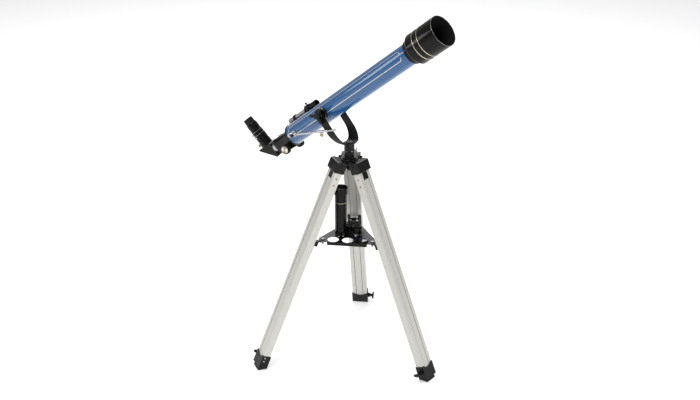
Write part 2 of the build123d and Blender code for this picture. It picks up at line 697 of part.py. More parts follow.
with BuildPart() as diagonal:
    front = diagonal_half + 3.5
    lid = diagonal_half + 3.0
    sole = -diagonal_half - toe
    with BuildSketch(diagonal_plane.offset(-wedge_half_width)) as wedge:
        with BuildLine():
            Polyline(
                (front, sole + 2), (front, diagonal_half), (diagonal_half, lid),
                (-diagonal_half - fin, lid), (-diagonal_half - fin, lid - 2),
                (diagonal_half - 4, sole), (diagonal_half, sole), close=True)
        make_face()
    extrude(wedge.sketch, amount=2 * wedge_half_width)
    post(across_tube(diagonal_station + diagonal_half + 3), barrel_radius, 30)
    post(across_tube(diagonal_station), barrel_radius - 2, 60, Mode.SUBTRACT)
    post(above_diagonal(barrel_start), barrel_radius + back_wall, barrel_top - barrel_start)
    post(above_diagonal(barrel_start + 1), barrel_radius + fit_gap, 60, Mode.SUBTRACT)
    post(above_diagonal(0), barrel_radius - 2.5, 60, Mode.SUBTRACT)
    with BuildSketch(diagonal_plane.offset(-prism_half_width - body_gap)) as prism_room:
        with BuildLine():
            room = leg_of_prism + body_gap
            Polyline((room, -room - 0.5), (room, room), (-room - 0.5, room), close=True)
        make_face()
    extrude(prism_room.sketch, amount=2 * (prism_half_width + body_gap), mode=Mode.SUBTRACT)
pieces["diagonal_body"] = diagonal.part
with BuildPart() as prism:
    with BuildSketch(diagonal_plane.offset(-prism_half_width)) as prism_shape:
        with BuildLine():
            Polyline(
                (leg_of_prism, -leg_of_prism), (leg_of_prism, leg_of_prism),
                (-leg_of_prism, leg_of_prism), close=True)
        make_face()
    extrude(prism_shape.sketch, amount=2 * prism_half_width)
pieces["diagonal_prism"] = prism.part

with BuildPart() as diagonal_screw:
    out = (tube_axis * -1 + diagonal_side * 0.35).normalized()
    spot = diagonal_centre + eyepiece_up * 32.0 + out * (barrel_radius + back_wall + 0.1)
    post(Plane(origin=spot, z_dir=out), 2.0, 3.0)
    post(Plane(origin=spot + out * 1.0, z_dir=out), 4.0, 6.5)
pieces["diagonal_screw"] = diagonal_screw.part

pieces["erecting_tube"] = turned(eyepiece_plane, [
    (barrel_start + 1.5, 12.5), (barrel_start + 1.5, barrel_radius), (barrel_top + 0.1, barrel_radius),
    (barrel_top + 0.1, 17.8), (44, 18.6), (60, 18.6), (61, 17.8), (erecting_top, 17.8),
    (erecting_top, barrel_radius + fit_gap), (socket_floor, barrel_radius + fit_gap),
    (socket_floor, 12.5)])
pieces["eyepiece_body"] = turned(eyepiece_plane, [
    (socket_floor + 1, 12.0), (socket_floor + 1, barrel_radius), (erecting_top + 0.1, barrel_radius),
    (erecting_top + 0.1, 16.6), (erecting_top + 6, 17.2), (cup_base - 4, 17.2), (cup_base, 15.6),
    (cup_base, 13.0), (cup_base - 12, 13.0), (cup_base - 12, 12.0)])
pieces["eyepiece_lens"] = lens(eyepiece_plane, cup_base - 10, cup_base - 5, 12.9, 1.0, 1.6)
pieces["eyepiece_eyecup"] = turned(eyepiece_plane, [
    (cup_base + 0.1, 10.5), (cup_base + 0.1, 15.2), (cup_base + 2, 14.8), (cup_top - 2, 14.8),
    (cup_top, 13.8), (cup_top, 12.2), (cup_base + 5, 10.5)])

# ---------------------------------------------------------------- finder
pieces["finder_tube"] = turned(finder_plane, [
    (-20, 5.6), (-20, 7.6), (-6, 7.6), (-6, finder_tube_radius), (68, finder_tube_radius), (68, 5.6)])
pieces["finder_front_cell"] = turned(finder_plane, [
    (56, finder_tube_radius + 0.05), (56, 9.4), (59, finder_cell_radius), (109, finder_cell_radius),
    (110, finder_cell_radius - 0.8), (110, finder_cell_radius - 1.4), (70, finder_cell_radius - 1.4),
    (70, finder_tube_radius + 0.05)])
with BuildPart() as finder_lenses:
    with BuildSketch(across_tube(92, finder_side, finder_rise)) as front_glass:
        Circle(finder_cell_radius - 1.5)
    extrude(front_glass.sketch, amount=2.5)
    with BuildSketch(across_tube(-17, finder_side, finder_rise)) as rear_glass:
        Circle(5.5)
    extrude(rear_glass.sketch, amount=2.0)
pieces["finder_lenses"] = finder_lenses.part

finder_distance = math.hypot(finder_side, finder_rise)
finder_out = (far_side * finder_side + tube_up * finder_rise).normalized()


def across_finder(station):
    """Plane square to the tube whose x axis points from the tube's axis to the finder's."""
    return Plane(origin=rear_end + tube_axis * station, x_dir=finder_out, z_dir=tube_axis)


with BuildPart() as finder_bracket:
    for start, end, inner, outer in ((3, 12, finder_tube_radius + 0.05, 9.8),
                                     (62, 78, finder_cell_radius + 0.05, 13.2)):
        with BuildSketch(across_finder(start)) as loop:
            with Locations((finder_distance, 0)):
                Circle(outer)
            with Locations((finder_distance / 2 + tube_radius / 2, 0)):
                Rectangle(finder_distance - tube_radius, 8)
            with Locations((finder_distance, 0)):
                Circle(inner, mode=Mode.SUBTRACT)
        extrude(loop.sketch, amount=end - start)
    with BuildSketch(across_finder(3)) as foot_bar:
        with Locations((tube_radius + 2.2, 0)):
            Rectangle(3.6, 12)
    extrude(foot_bar.sketch, amount=75)
    post(across_tube(-10), tube_radius + 0.05, 120, Mode.SUBTRACT)
pieces["finder_bracket"] = finder_bracket.part

# ---------------------------------------------------------------- slow motion rod
rod_pivot = rear_end + tube_axis * rod_station
rod_start = rod_pivot + near_side * rod_side
rod_end_point = stud_place + near_side * rod_side
rod_dir = (rod_end_point - rod_start).normalized()
rod_span = (rod_end_point - rod_start).length
rod_down = rod_dir.cross(near_side)


def along_rod(distance, drop=0.0):
    """Plane square to the rod at a distance from its tube end; z runs to the yoke."""
    return Plane(origin=rod_start + rod_dir * distance + rod_down * drop, x_dir=near_side, z_dir=rod_dir)


with BuildPart() as rod_clamp:
    base = beside_tube(rod_station, 0, towards=-1)
    post(base.offset(tube_radius - 4), 8.0, 6.5)
    post(across_tube(rod_station - 40), tube_radius + 0.05, 80, Mode.SUBTRACT)
    post(base.offset(tube_radius + 2), 5.0, rod_side - tube_radius - 6.5)
    post(base.offset(tube_radius + 2), 2.5, rod_side - tube_radius + 2.5)
    post(base.offset(rod_side + 4.4), 4.4, 2.2)
    post(base.offset(rod_side), 2.5, 5.0)
pieces["rod_clamp"] = rod_clamp.part

with BuildPart() as slow_rod:
    eye = Plane(origin=rod_start + near_side * -4.0, x_dir=rod_dir, z_dir=near_side)
    post(eye, 6.0, 8.0)
    post(along_rod(3), rod_radius, rod_length - 3)
    post(eye.offset(-2), 2.5 + fit_gap, 12, Mode.SUBTRACT)
pieces["slow_motion_rod"] = slow_rod.part

with BuildPart() as sleeve:
    post(along_rod(rod_span - 30), 4.4, 16)
    post(along_rod(rod_span - 14.1), 3.6, 10)
    post(along_rod(rod_span - 6), 4.4, 12)
    post(Plane(origin=rod_start + rod_dir * (rod_span - 22) + rod_down * 1, z_dir=rod_down), 3.6, 7.0)
    post(along_rod(rod_span - 40), rod_radius + fit_gap, 60, Mode.SUBTRACT)
    screw_hole = Plane(origin=rod_start + rod_dir * (rod_span - 22), z_dir=rod_down)
    post(screw_hole, 1.6 + fit_gap, 20, Mode.SUBTRACT)
pieces["rod_sleeve"] = sleeve.part

with BuildPart() as rod_nut:
    spot = rod_start + rod_dir * (rod_span - 22) + rod_down * 3.2
    post(Plane(origin=spot, z_dir=rod_down), 1.6, 14)
    with BuildSketch(Plane(origin=spot + rod_down * 5.0, z_dir=rod_down)) as knurl:
        Circle(5.4)
        with PolarLocations(5.7, 16):
            Circle(0.6, mode=Mode.SUBTRACT)
    extrude(knurl.sketch, amount=5.0)
pieces["rod_nut"] = rod_nut.part

# ---------------------------------------------------------------- export
os.makedirs("parts", exist_ok=True)
for name, piece in pieces.items():
    piece.label = name
    export_step(piece, f"parts/{name}.step")
print(len(pieces), "sub-parts written")
print("altitude axis at", altitude_centre, "rod span", round(rod_span, 2))
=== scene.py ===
# %% [markdown]
# # A small refracting telescope on its tripod
# The imported model gives every part its place, size and motion. This lesson keeps those places
# and gives each part the surface, edge and small detail that the real one has. The first cell
# loads the model.

# %% Load the frame
import json
import math
import bmesh
import bpy
import numpy as np
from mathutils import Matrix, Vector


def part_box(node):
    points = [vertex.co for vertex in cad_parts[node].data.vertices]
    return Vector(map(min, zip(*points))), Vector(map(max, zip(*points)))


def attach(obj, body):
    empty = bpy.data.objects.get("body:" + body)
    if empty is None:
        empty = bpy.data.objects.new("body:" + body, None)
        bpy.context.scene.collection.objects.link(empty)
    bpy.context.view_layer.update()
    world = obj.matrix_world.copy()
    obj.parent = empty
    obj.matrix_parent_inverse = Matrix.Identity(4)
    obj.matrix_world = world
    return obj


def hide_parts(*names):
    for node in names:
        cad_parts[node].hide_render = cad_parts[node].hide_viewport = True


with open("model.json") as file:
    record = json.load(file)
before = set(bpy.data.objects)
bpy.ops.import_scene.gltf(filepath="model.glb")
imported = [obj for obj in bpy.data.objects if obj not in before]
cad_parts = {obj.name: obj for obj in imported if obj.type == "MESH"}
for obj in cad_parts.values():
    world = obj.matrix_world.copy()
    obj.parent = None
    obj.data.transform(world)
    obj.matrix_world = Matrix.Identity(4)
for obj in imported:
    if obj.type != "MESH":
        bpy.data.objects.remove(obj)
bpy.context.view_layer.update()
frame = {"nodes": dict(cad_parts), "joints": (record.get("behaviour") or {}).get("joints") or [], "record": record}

MM = 0.001
nodes = frame["nodes"]
joints = {joint["name"]: joint for joint in frame["joints"]}

# %% [markdown]
# ## Camera
# The viewer stands a little over three metres away and looks down at the mount. A long lens
# at that distance keeps the tripod's legs from splaying. The place is a point and two angles,
# which is easier to check than a matrix.

# %% Camera
camera_data = bpy.data.cameras.new("camera")
camera_data.sensor_width = 36.0
camera_data.lens = 63.7
camera = bpy.data.objects.new("camera", camera_data)
camera.location = (0.4224, -3.2819, 2.0500)
camera.rotation_euler = (math.radians(64.96), 0.0, math.radians(7.3))
bpy.context.scene.collection.objects.link(camera)
bpy.context.scene.camera = camera

# %% [markdown]
# ## Directions that the parts share
# The optical tube leans, so its pieces are easiest to place by how far they are along the
# tube, how far to the side and how far up from its axis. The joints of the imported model
# already carry those directions: the drawtube slides back along the tube, and the tube tips
# about the altitude axis. A leg works the same way, with stations that run down from its hinge.

# %% Tube and mount directions
def direction(vector):
    """A vector divided by its own length."""
    vector = np.asarray(vector, float)
    return vector / np.linalg.norm(vector)


UP = np.array([0.0, 0.0, 1.0])
ALONG = -direction(joints["focus_slide"]["axis"])
NEAR = direction(joints["altitude"]["axis"])
FAR = -NEAR
RISE = np.cross(ALONG, FAR)
AXIS_STATION = 162.0
ALTITUDE_POINT = np.array(joints["altitude"]["pos_m"], float) / MM
REAR = ALTITUDE_POINT - ALONG * AXIS_STATION


def on_tube(station, side=0.0, rise=0.0):
    """Point in mm: rear end of the tube, plus station forwards, side to the far side, rise up."""
    return REAR + ALONG * station + FAR * side + RISE * rise


print("tube axis", ALONG.round(3), "altitude axis at", ALTITUDE_POINT.round(1))

# %% Leg directions
LEG_ANGLES = {"back": 90.0, "left": 210.0, "right": 330.0}
HINGE_RADIUS = 34.0
HINGE_HEIGHT = 628.0
LEG_WIDTH = 46.6


def level_direction(angle):
    """Level direction at an angle in degrees from the x axis."""
    return np.array([math.cos(math.radians(angle)), math.sin(math.radians(angle)), 0.0])


class Leg:
    """Directions of one leg: down from the hinge, across it and outwards."""

    def __init__(self, name, angle):
        radial = level_direction(angle)
        self.across = np.cross(UP, radial)
        self.hinge = radial * HINGE_RADIUS + UP * HINGE_HEIGHT
        self.down = direction(joints[f"leg_{name}_slide"]["axis"])
        self.outward = np.cross(self.down, self.across)
        self.radial = radial

    def point(self, station, across=0.0, out=0.0):
        """Point in mm: the hinge, plus station down the leg, across it and outwards."""
        return self.hinge + self.down * station + self.across * across + self.outward * out

    def local(self, points):
        """Station, across and outwards of an array of points."""
        return (points - self.hinge) @ np.array([self.down, self.across, self.outward]).T


legs = {name: Leg(name, angle) for name, angle in LEG_ANGLES.items()}
print("legs run down", {name: leg.down.round(3).tolist() for name, leg in legs.items()})

# %% [markdown]
# ## Floor, walls of light and soft shadows
# A studio sets a small object on a pale sweep under large soft boxes. Four area lights and a
# bright even world do that here: the one above the viewer's left shoulder lights the tube's
# upper side, the low ones to the right and left keep the black parts from closing up, and the
# one behind draws a pale edge.

# %% Floor and lights
def soft_box(name, place, aim, width, power):
    """Square area light at `place` that faces `aim`."""
    light = bpy.data.lights.new(name, "AREA")
    light.size = width
    light.energy = power
    lamp = bpy.data.objects.new(name, light)
    lamp.location = place
    turn = (np.array(aim, float) - np.array(place, float))
    lamp.rotation_euler = Vector(turn).to_track_quat("-Z", "Y").to_euler()
    bpy.context.scene.collection.objects.link(lamp)


FLOOR_HALF = 9.0
FLOOR_GLOW = 0.3
floor_mesh = bpy.data.meshes.new("floor")
corners = np.array([[-1, -1, 0], [1, -1, 0], [1, 1, 0], [-1, 1, 0]]) * FLOOR_HALF
floor_mesh.from_pydata(corners.tolist(), [], [(0, 1, 2, 3)])
floor = bpy.data.objects.new("floor", floor_mesh)
bpy.context.scene.collection.objects.link(floor)
floor_sheet = bpy.data.materials.new("floor_sheet")
floor_sheet.use_nodes = True
sheet_shader = floor_sheet.node_tree.nodes["Principled BSDF"]
sheet_shader.inputs["Base Color"].default_value = (0.9, 0.9, 0.9, 1.0)
sheet_shader.inputs["Roughness"].default_value = 0.9
sheet_shader.inputs["Specular IOR Level"].default_value = 0.0
sheet_shader.inputs["Emission Color"].default_value = (1.0, 1.0, 1.0, 1.0)
sheet_shader.inputs["Emission Strength"].default_value = FLOOR_GLOW
floor_mesh.materials.append(floor_sheet)

soft_box("key_light", (-1.2, -1.8, 4.0), (0, 0, 0.6), 1.6, 80.0)
soft_box("fill_light", (3.2, -1.6, 1.2), (0, 0, 0.6), 1.4, 50.0)
soft_box("left_light", (-3.2, -0.8, 1.4), (0, 0, 0.5), 1.0, 14.0)
soft_box("rim_light", (-0.4, 2.8, 3.0), (0, 0, 0.8), 2.2, 70.0)

WORLD_STRENGTH = 0.42
world = bpy.data.worlds.new("studio")
world.use_nodes = True
world.node_tree.nodes["Background"].inputs["Color"].default_value = (1.0, 1.0, 1.0, 1.0)
world.node_tree.nodes["Background"].inputs["Strength"].default_value = WORLD_STRENGTH
bpy.context.scene.world = world
bpy.context.scene.view_settings.view_transform = "Standard"

# %% [markdown]
# ## Shader maths that reads like maths
# A finish is a small network of nodes. Wiring them by hand hides the idea, so one class wraps
# an output socket: adding or multiplying it adds the Math node. A second class holds one
# Principled material and has a single method that makes any other node.

# %% Signal and Finish
class Signal:
    """An output socket of a finish. Arithmetic on it adds Math nodes to the same finish."""

    def __init__(self, finish, socket):
        self.finish = finish
        self.socket = socket

    def math(self, operation, first, second):
        """A Math node on two numbers or signals."""
        return self.finish.node("ShaderNodeMath", {"operation": operation}, {0: first, 1: second})

    def __add__(self, other):
        return self.math("ADD", self, other)

    def __sub__(self, other):
        return self.math("SUBTRACT", self, other)

    def __rsub__(self, other):
        return self.math("SUBTRACT", other, self)

    def __mul__(self, other):
        return self.math("MULTIPLY", self, other)

    def above(self, level, width):
        """0 below level, 1 above level + width, straight in between."""
        return self.finish.node(
            "ShaderNodeMapRange",
            {"clamp": True},
            {"Value": self, "From Min": level, "From Max": level + width},
        )

    __radd__ = __add__
    __rmul__ = __mul__


class Finish:
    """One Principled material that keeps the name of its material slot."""

    def __init__(self, name, slot, **constants):
        self.slot = slot
        self.material = bpy.data.materials.new(name)
        self.material.use_nodes = True
        self.tree = self.material.node_tree
        self.shader = self.tree.nodes["Principled BSDF"]
        for key, value in constants.items():
            self.feed(key.replace("_", " ").title().replace("Ior", "IOR"), value)

    def join(self, socket, value):
        """Links a signal to a socket, or sets the socket to a number or colour."""
        if isinstance(value, Signal):
            self.tree.links.new(value.socket, socket)
        else:
            socket.default_value = value

    def feed(self, socket, value):
        """The same for a socket of the Principled shader."""
        self.join(self.shader.inputs[socket], value)

    def node(self, kind, settings=None, sockets=None, output=0):
        """Makes a node of any kind: its settings first, then its sockets."""
        made = self.tree.nodes.new(kind)
        for key, value in (settings or {}).items():
            setattr(made, key, value)
        for key, value in (sockets or {}).items():
            self.join(made.inputs[key], value)
        return Signal(self, made.outputs[output])

    def blend(self, share, first, second):
        """Colour that goes from first to second as share goes from 0 to 1."""
        return self.node("ShaderNodeMix", {"data_type": "RGBA"}, {0: share, 6: first, 7: second}, 2)

    def place(self):
        """Where a point of the piece is at rest, in metres."""
        return self.node("ShaderNodeTexCoord", output=3)

    def grain(self, squeeze):
        """The piece's own grain attribute, with its first number, along the grain, squeezed."""
        stored = self.node("ShaderNodeAttribute", {"attribute_name": "grain"}, output=1)
        return self.node(
            "ShaderNodeVectorMath", {"operation": "MULTIPLY"}, {0: stored, 1: (squeeze, 1.0, 1.0)}
        )

    def noise(self, where, scale, detail=3.0):
        """Cloudy noise between 0 and 1 with about `scale` clouds in a metre."""
        return self.node(
            "ShaderNodeTexNoise", None, {"Vector": where, "Scale": scale, "Detail": detail}
        )

    def bump(self, height, depth, strength=1.0):
        """Feeds the shader's Normal with a bump of `depth` mm."""
        self.feed("Normal", self.node(
            "ShaderNodeBump", None, {"Height": height, "Distance": depth * MM, "Strength": strength}
        ))


def tone(red, green, blue, factor=1.0):
    """A colour with its alpha, made lighter or darker by factor."""
    return (red * factor, green * factor, blue * factor, 1.0)


print("shader helpers ready")

# %% [markdown]
# ## Paint and enamel
# The tube is sprayed with a glossy coat that flows almost flat: a faint orange peel, a little
# cloudiness in the colour, and handling marks that only show in the gloss. Enamel on the mount
# is the same idea with a rougher coat. One function makes them all, so that they differ only in
# numbers that can be compared. The polished finish comes twice because turned eyepiece tubes
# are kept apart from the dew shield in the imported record.

# %% Paint
def paint(name, slot, colour, roughness, coat, peel, peel_scale, cloud=0.12, marks=0.1, mirror=0.22):
    """Sprayed coat: colour * (1 +- cloud), roughness + marks * smudges, and orange peel."""
    finish = Finish(name, slot, coat_weight=coat, coat_roughness=0.06, specular_ior_level=mirror)
    where = finish.place()
    clouds = finish.noise(where, 14.0, 4.0)
    smudges = finish.noise(where, 55.0, 5.0).above(0.5, 0.25)
    finish.feed("Base Color", finish.blend(
        clouds, tone(*colour, 1.0 - cloud), tone(*colour, 1.0 + cloud)
    ))
    finish.feed("Roughness", smudges * marks + roughness)
    finish.bump(finish.noise(where, peel_scale, 2.0), peel)
    return finish


BLACK = (0.0034, 0.0029, 0.0026)
PLASTIC_BLACK = (0.0036, 0.0031, 0.0028)
tube_paint = paint("tube_paint", "tube_blue", (0.012, 0.088, 0.245), 0.2, 1.0, 0.0008, 420.0, 0.05, 0.02)
mount_enamel = paint("mount_enamel", "black_enamel", BLACK, 0.36, 0.0, 0.02, 700.0, 0.3)
polished_black = paint("polished_black", "gloss_black", BLACK, 0.13, 0.06, 0.001, 300.0, 0.2, 0.04, 0.16)
glossy_enamel = paint("glossy_enamel", "black_enamel", BLACK, 0.14, 0.06, 0.001, 300.0, 0.2, 0.04, 0.16)
tray_coat = paint("tray_coat", "tray_black", PLASTIC_BLACK, 0.3, 0.0, 0.02, 900.0, 0.3)
print("paints:", [f.material.name for f in (tube_paint, mount_enamel, polished_black, tray_coat)])

# %% [markdown]
# ## Mouldings and rubber
# Moulded parts carry the fine texture of their tool, which scatters light and keeps finger
# marks from showing. Rubber has a coarser, softer grain and pale dust in its hollows. Bump from
# two sizes of noise gives both, and the dust is the same noise that feeds the colour.

# %% Mouldings
def moulding(name, slot, colour, roughness, grain, grain_scale, dust=0.0):
    """Textured moulding: two sizes of noise for the bump, and dust where the coarse one is low."""
    finish = Finish(name, slot, specular_ior_level=0.22)
    where = finish.place()
    fine = finish.noise(where, grain_scale, 2.0)
    coarse = finish.noise(where, grain_scale * 0.12, 4.0)
    hollows = (1.0 - coarse).above(0.5, 0.3)
    finish.feed("Base Color", finish.blend(
        hollows * dust, tone(*colour), tone(0.13, 0.125, 0.115)
    ))
    finish.feed("Roughness", coarse * 0.2 + roughness)
    finish.bump(fine * 0.7 + coarse * 0.3, grain)
    return finish


housing_black = moulding("housing_black", "black_plastic", PLASTIC_BLACK, 0.3, 0.02, 1400.0, 0.01)
housing_gloss = moulding("housing_gloss", "black_plastic", PLASTIC_BLACK, 0.14, 0.01, 900.0)
flat_black = moulding("flat_black", "inner_black", (0.006, 0.006, 0.006), 0.85, 0.03, 1500.0)
foot_rubber = moulding("foot_rubber", "rubber_foot", (0.012, 0.012, 0.012), 0.7, 0.09, 700.0, 0.25)
cup_rubber = moulding("cup_rubber", "eyecup_rubber", (0.009, 0.009, 0.009), 0.5, 0.05, 1000.0, 0.06)
print("mouldings:", [f.material.name for f in (housing_black, flat_black, foot_rubber, cup_rubber)])

# %% [markdown]
# ## Metals
# Metal shows how it was made. An extruded leg has draw lines along its length, a turned part
# has rings round its axis, and plating is smooth with a few wipe marks. The lines follow each
# piece's own grain attribute: noise that changes slowly along the grain and fast across it.

# %% Metals
def metal(name, slot, colour, roughness, lines, line_scale, metallic=1.0, marks=0.05):
    """Metal with fine lines along its grain that change its roughness, tone and surface."""
    finish = Finish(name, slot, metallic=metallic)
    streaks = finish.noise(finish.grain(0.02), line_scale, 3.0)
    wipes = finish.noise(finish.place(), 30.0, 4.0).above(0.4, 0.5)
    finish.feed("Base Color", finish.blend(
        streaks * 0.85 + wipes * 0.15, tone(*colour, 0.92), tone(*colour, 1.06)
    ))
    finish.feed("Roughness", streaks * lines + wipes * marks + roughness)
    finish.bump(streaks, lines * 0.1)
    return finish


leg_metal = metal("leg_metal", "leg_aluminium", (0.56, 0.55, 0.515), 0.36, 0.12, 900.0, 0.5)
plate = metal("plate", "bright_metal", (0.40, 0.40, 0.40), 0.14, 0.03, 700.0)
spun_painted_wedges = metal("spun_painted_wedges", "spun_silver", (0.52, 0.50, 0.45), 0.22, 0.25, 2600.0)
grey_anodised = metal("grey_anodised", "grey_metal", (0.30, 0.30, 0.31), 0.3, 0.12, 1500.0, 0.9)
brass = metal("brass", "brass_knurl", (0.44, 0.32, 0.14), 0.2, 0.15, 1800.0)
bronze = metal("bronze", "brass_knurl", (0.32, 0.23, 0.14), 0.3, 0.15, 1800.0)
trim = metal("trim", "gold_trim", (0.72, 0.66, 0.5), 0.16, 0.05, 1500.0)
gilt = metal("gilt", "gold_trim", (0.80, 0.74, 0.52), 0.22, 0.05, 1500.0, 0.5)
zinc = metal("zinc", "fastener_grey", (0.2, 0.2, 0.205), 0.3, 0.15, 1500.0)

# %% Spun face with painted reflection wedges
def paint_reflection_wedges(finish, dark, light):
    """Paints the spun metal's reflection into its colour as two bright wedges: (side / radius)^2 runs from dark to
    light.
    """
    stored = finish.node("ShaderNodeAttribute", {"attribute_name": "grain"}, output=1)
    side = finish.node("ShaderNodeSeparateXYZ", None, {"Vector": stored}, 0)
    radius = finish.node("ShaderNodeSeparateXYZ", None, {"Vector": stored}, 2) + 0.0001
    share = side.math("DIVIDE", side, radius)
    finish.feed("Base Color", finish.blend((share * share).above(0.1, 0.6), dark, light))


# The dark and light wedges on the focus discs are painted reflection, set in the base colour.
paint_reflection_wedges(spun_painted_wedges, tone(0.24, 0.21, 0.16), tone(0.74, 0.70, 0.58))
print("metals:", [f.material.name for f in (leg_metal, plate, spun_painted_wedges, grey_anodised, brass, gilt, zinc)])

# %% [markdown]
# ## Coated glass
# A lens sends nearly all light through, and its thin coating turns what it does reflect a
# little blue-green at the middle and violet towards the rim. The coating is a blend on how the
# surface faces, and the clear glass is the shader's own transmission.

# %% Glass
lens_glass = Finish("lens_glass", "glass", transmission_weight=1.0, roughness=0.02, ior=1.52)
facing = lens_glass.node("ShaderNodeLayerWeight", None, {"Blend": 0.4}, 1)
haze = lens_glass.noise(lens_glass.place(), 90.0, 3.0)
lens_glass.feed("Base Color", lens_glass.blend(
    facing * 0.8 + haze * 0.1, tone(0.80, 0.93, 0.95), tone(0.62, 0.55, 0.88)
))
dark_glass = Finish("dark_glass", "glass", roughness=0.05, specular_ior_level=0.8)
dark_haze = dark_glass.noise(dark_glass.place(), 120.0, 3.0)
dark_glass.feed("Base Color", dark_glass.blend(
    dark_haze, tone(0.012, 0.016, 0.03), tone(0.03, 0.02, 0.05)
))
print("glass ready")

# %% [markdown]
# ## Surfaces that make closed pieces
# A turned part is an outline spun round an axis, so its surface is a grid: one parameter runs
# round the outline and the other round the axis. A box with soft corners is a grid too, of a
# small ball whose eight octants are pushed apart. One collector takes such grids, joins their
# seams and turns their faces outwards. It also keeps where each point lies along the grain.

# %% Outline and grid formulas
def round_corners(outline, radius, steps=4):
    """Each corner C becomes (1-t)^2 A + 2t(1-t) C + t^2 B, with A and B `radius` before and after it."""
    outline = np.asarray(outline, float)
    t = np.linspace(0.0, 1.0, steps)[:, None]
    rounded = []
    for index, corner in enumerate(outline):
        back = outline[index - 1] - corner
        ahead = outline[(index + 1) % len(outline)] - corner
        if corner[1] == 0.0:
            rounded.append(corner[None])
            continue
        start = corner + back * min(0.45, radius / np.linalg.norm(back))
        end = corner + ahead * min(0.45, radius / np.linalg.norm(ahead))
        rounded.append((1 - t) ** 2 * start + 2 * t * (1 - t) * corner + t ** 2 * end)
    return np.concatenate(rounded)


def axes_of(axis):
    """Three directions: the axis and two that are square to it."""
    axis = direction(axis)
    helper = UP if abs(axis[2]) < 0.9 else np.array([1.0, 0.0, 0.0])
    side = direction(np.cross(helper, axis))
    return np.array([axis, side, np.cross(axis, side)])


def spun_grid(origin, axis, outline, segments=72, ribs=None):
    """origin + axis s + r (side cos a + over sin a), where ribs = (count, depth, from, to) sink
    r by depth (1 - |cos(count a / 2)|) between two stations."""
    axis, side, over = axes_of(axis)
    station, radius = outline[:, :1], outline[:, 1:]
    angle = np.linspace(0.0, 2 * np.pi, segments, endpoint=False)[None, :]
    radius = np.repeat(radius, segments, axis=1)
    if ribs:
        count, depth, first, last = ribs
        outside = (station >= first) & (station <= last) & (radius > radius.max() * 0.85)
        radius = radius - outside * depth * (1 - np.abs(np.cos(angle * count / 2)))
    station = np.repeat(station, segments, axis=1)[..., None]
    sideways = (radius * np.cos(angle))[..., None] * side + (radius * np.sin(angle))[..., None] * over
    return np.asarray(origin, float) + station * axis + sideways


def box_grid(centre, directions, size, radius, steps=3):
    """centre + sum of d_i (sign_i (size_i / 2 - radius) + radius n_i) over a ball's normals n."""
    quarter = np.linspace(0.0, np.pi / 2, steps)
    turn = np.concatenate([quarter + k * np.pi / 2 for k in range(4)])[None, :]
    turn_sign = np.repeat([[1, 1], [-1, 1], [-1, -1], [1, -1]], steps, axis=0)[None]
    lift = np.concatenate([quarter - np.pi / 2, quarter])[:, None]
    lift_sign = np.repeat([-1, 1], steps)[:, None]
    normal = np.stack([
        np.cos(lift) * np.cos(turn), np.cos(lift) * np.sin(turn), np.sin(lift) + 0 * turn
    ], axis=-1)
    sign = np.concatenate([
        np.repeat(turn_sign, 2 * steps, axis=0),
        np.repeat(lift_sign[..., None], 4 * steps, axis=1),
    ], axis=-1)
    corner = sign * (np.asarray(size, float) / 2 - radius) + radius * normal
    return np.asarray(centre, float) + corner @ np.asarray(directions, float)


def ribbon_grid(path, outward, across, width, height):
    """Closed strip along a closed path: a rectangle of width by height in (across, outward)."""
    rectangle = np.array([[-1, 0], [-1, 1], [1, 1], [1, 0]]) * [width / 2, height]
    sideways = across[:, None] * rectangle[None, :, :1]
    upwards = outward[:, None] * rectangle[None, :, 1:]
    return path[:, None] + sideways + upwards


# %% Collector of closed grids
def bind(mesh, name, finish, body, replaced):
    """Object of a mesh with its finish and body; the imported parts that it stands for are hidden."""
    mesh.materials.append(finish.material)
    piece = bpy.data.objects.new(name, mesh)
    bpy.context.scene.collection.objects.link(piece)
    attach(piece, body)
    if replaced:
        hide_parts(*replaced)
    return piece


def smooth(mesh, angle=35.0):
    """Smooth shading, apart from edges sharper than the angle."""
    mesh.shade_smooth()
    mesh.set_sharp_from_angle(angle=math.radians(angle))


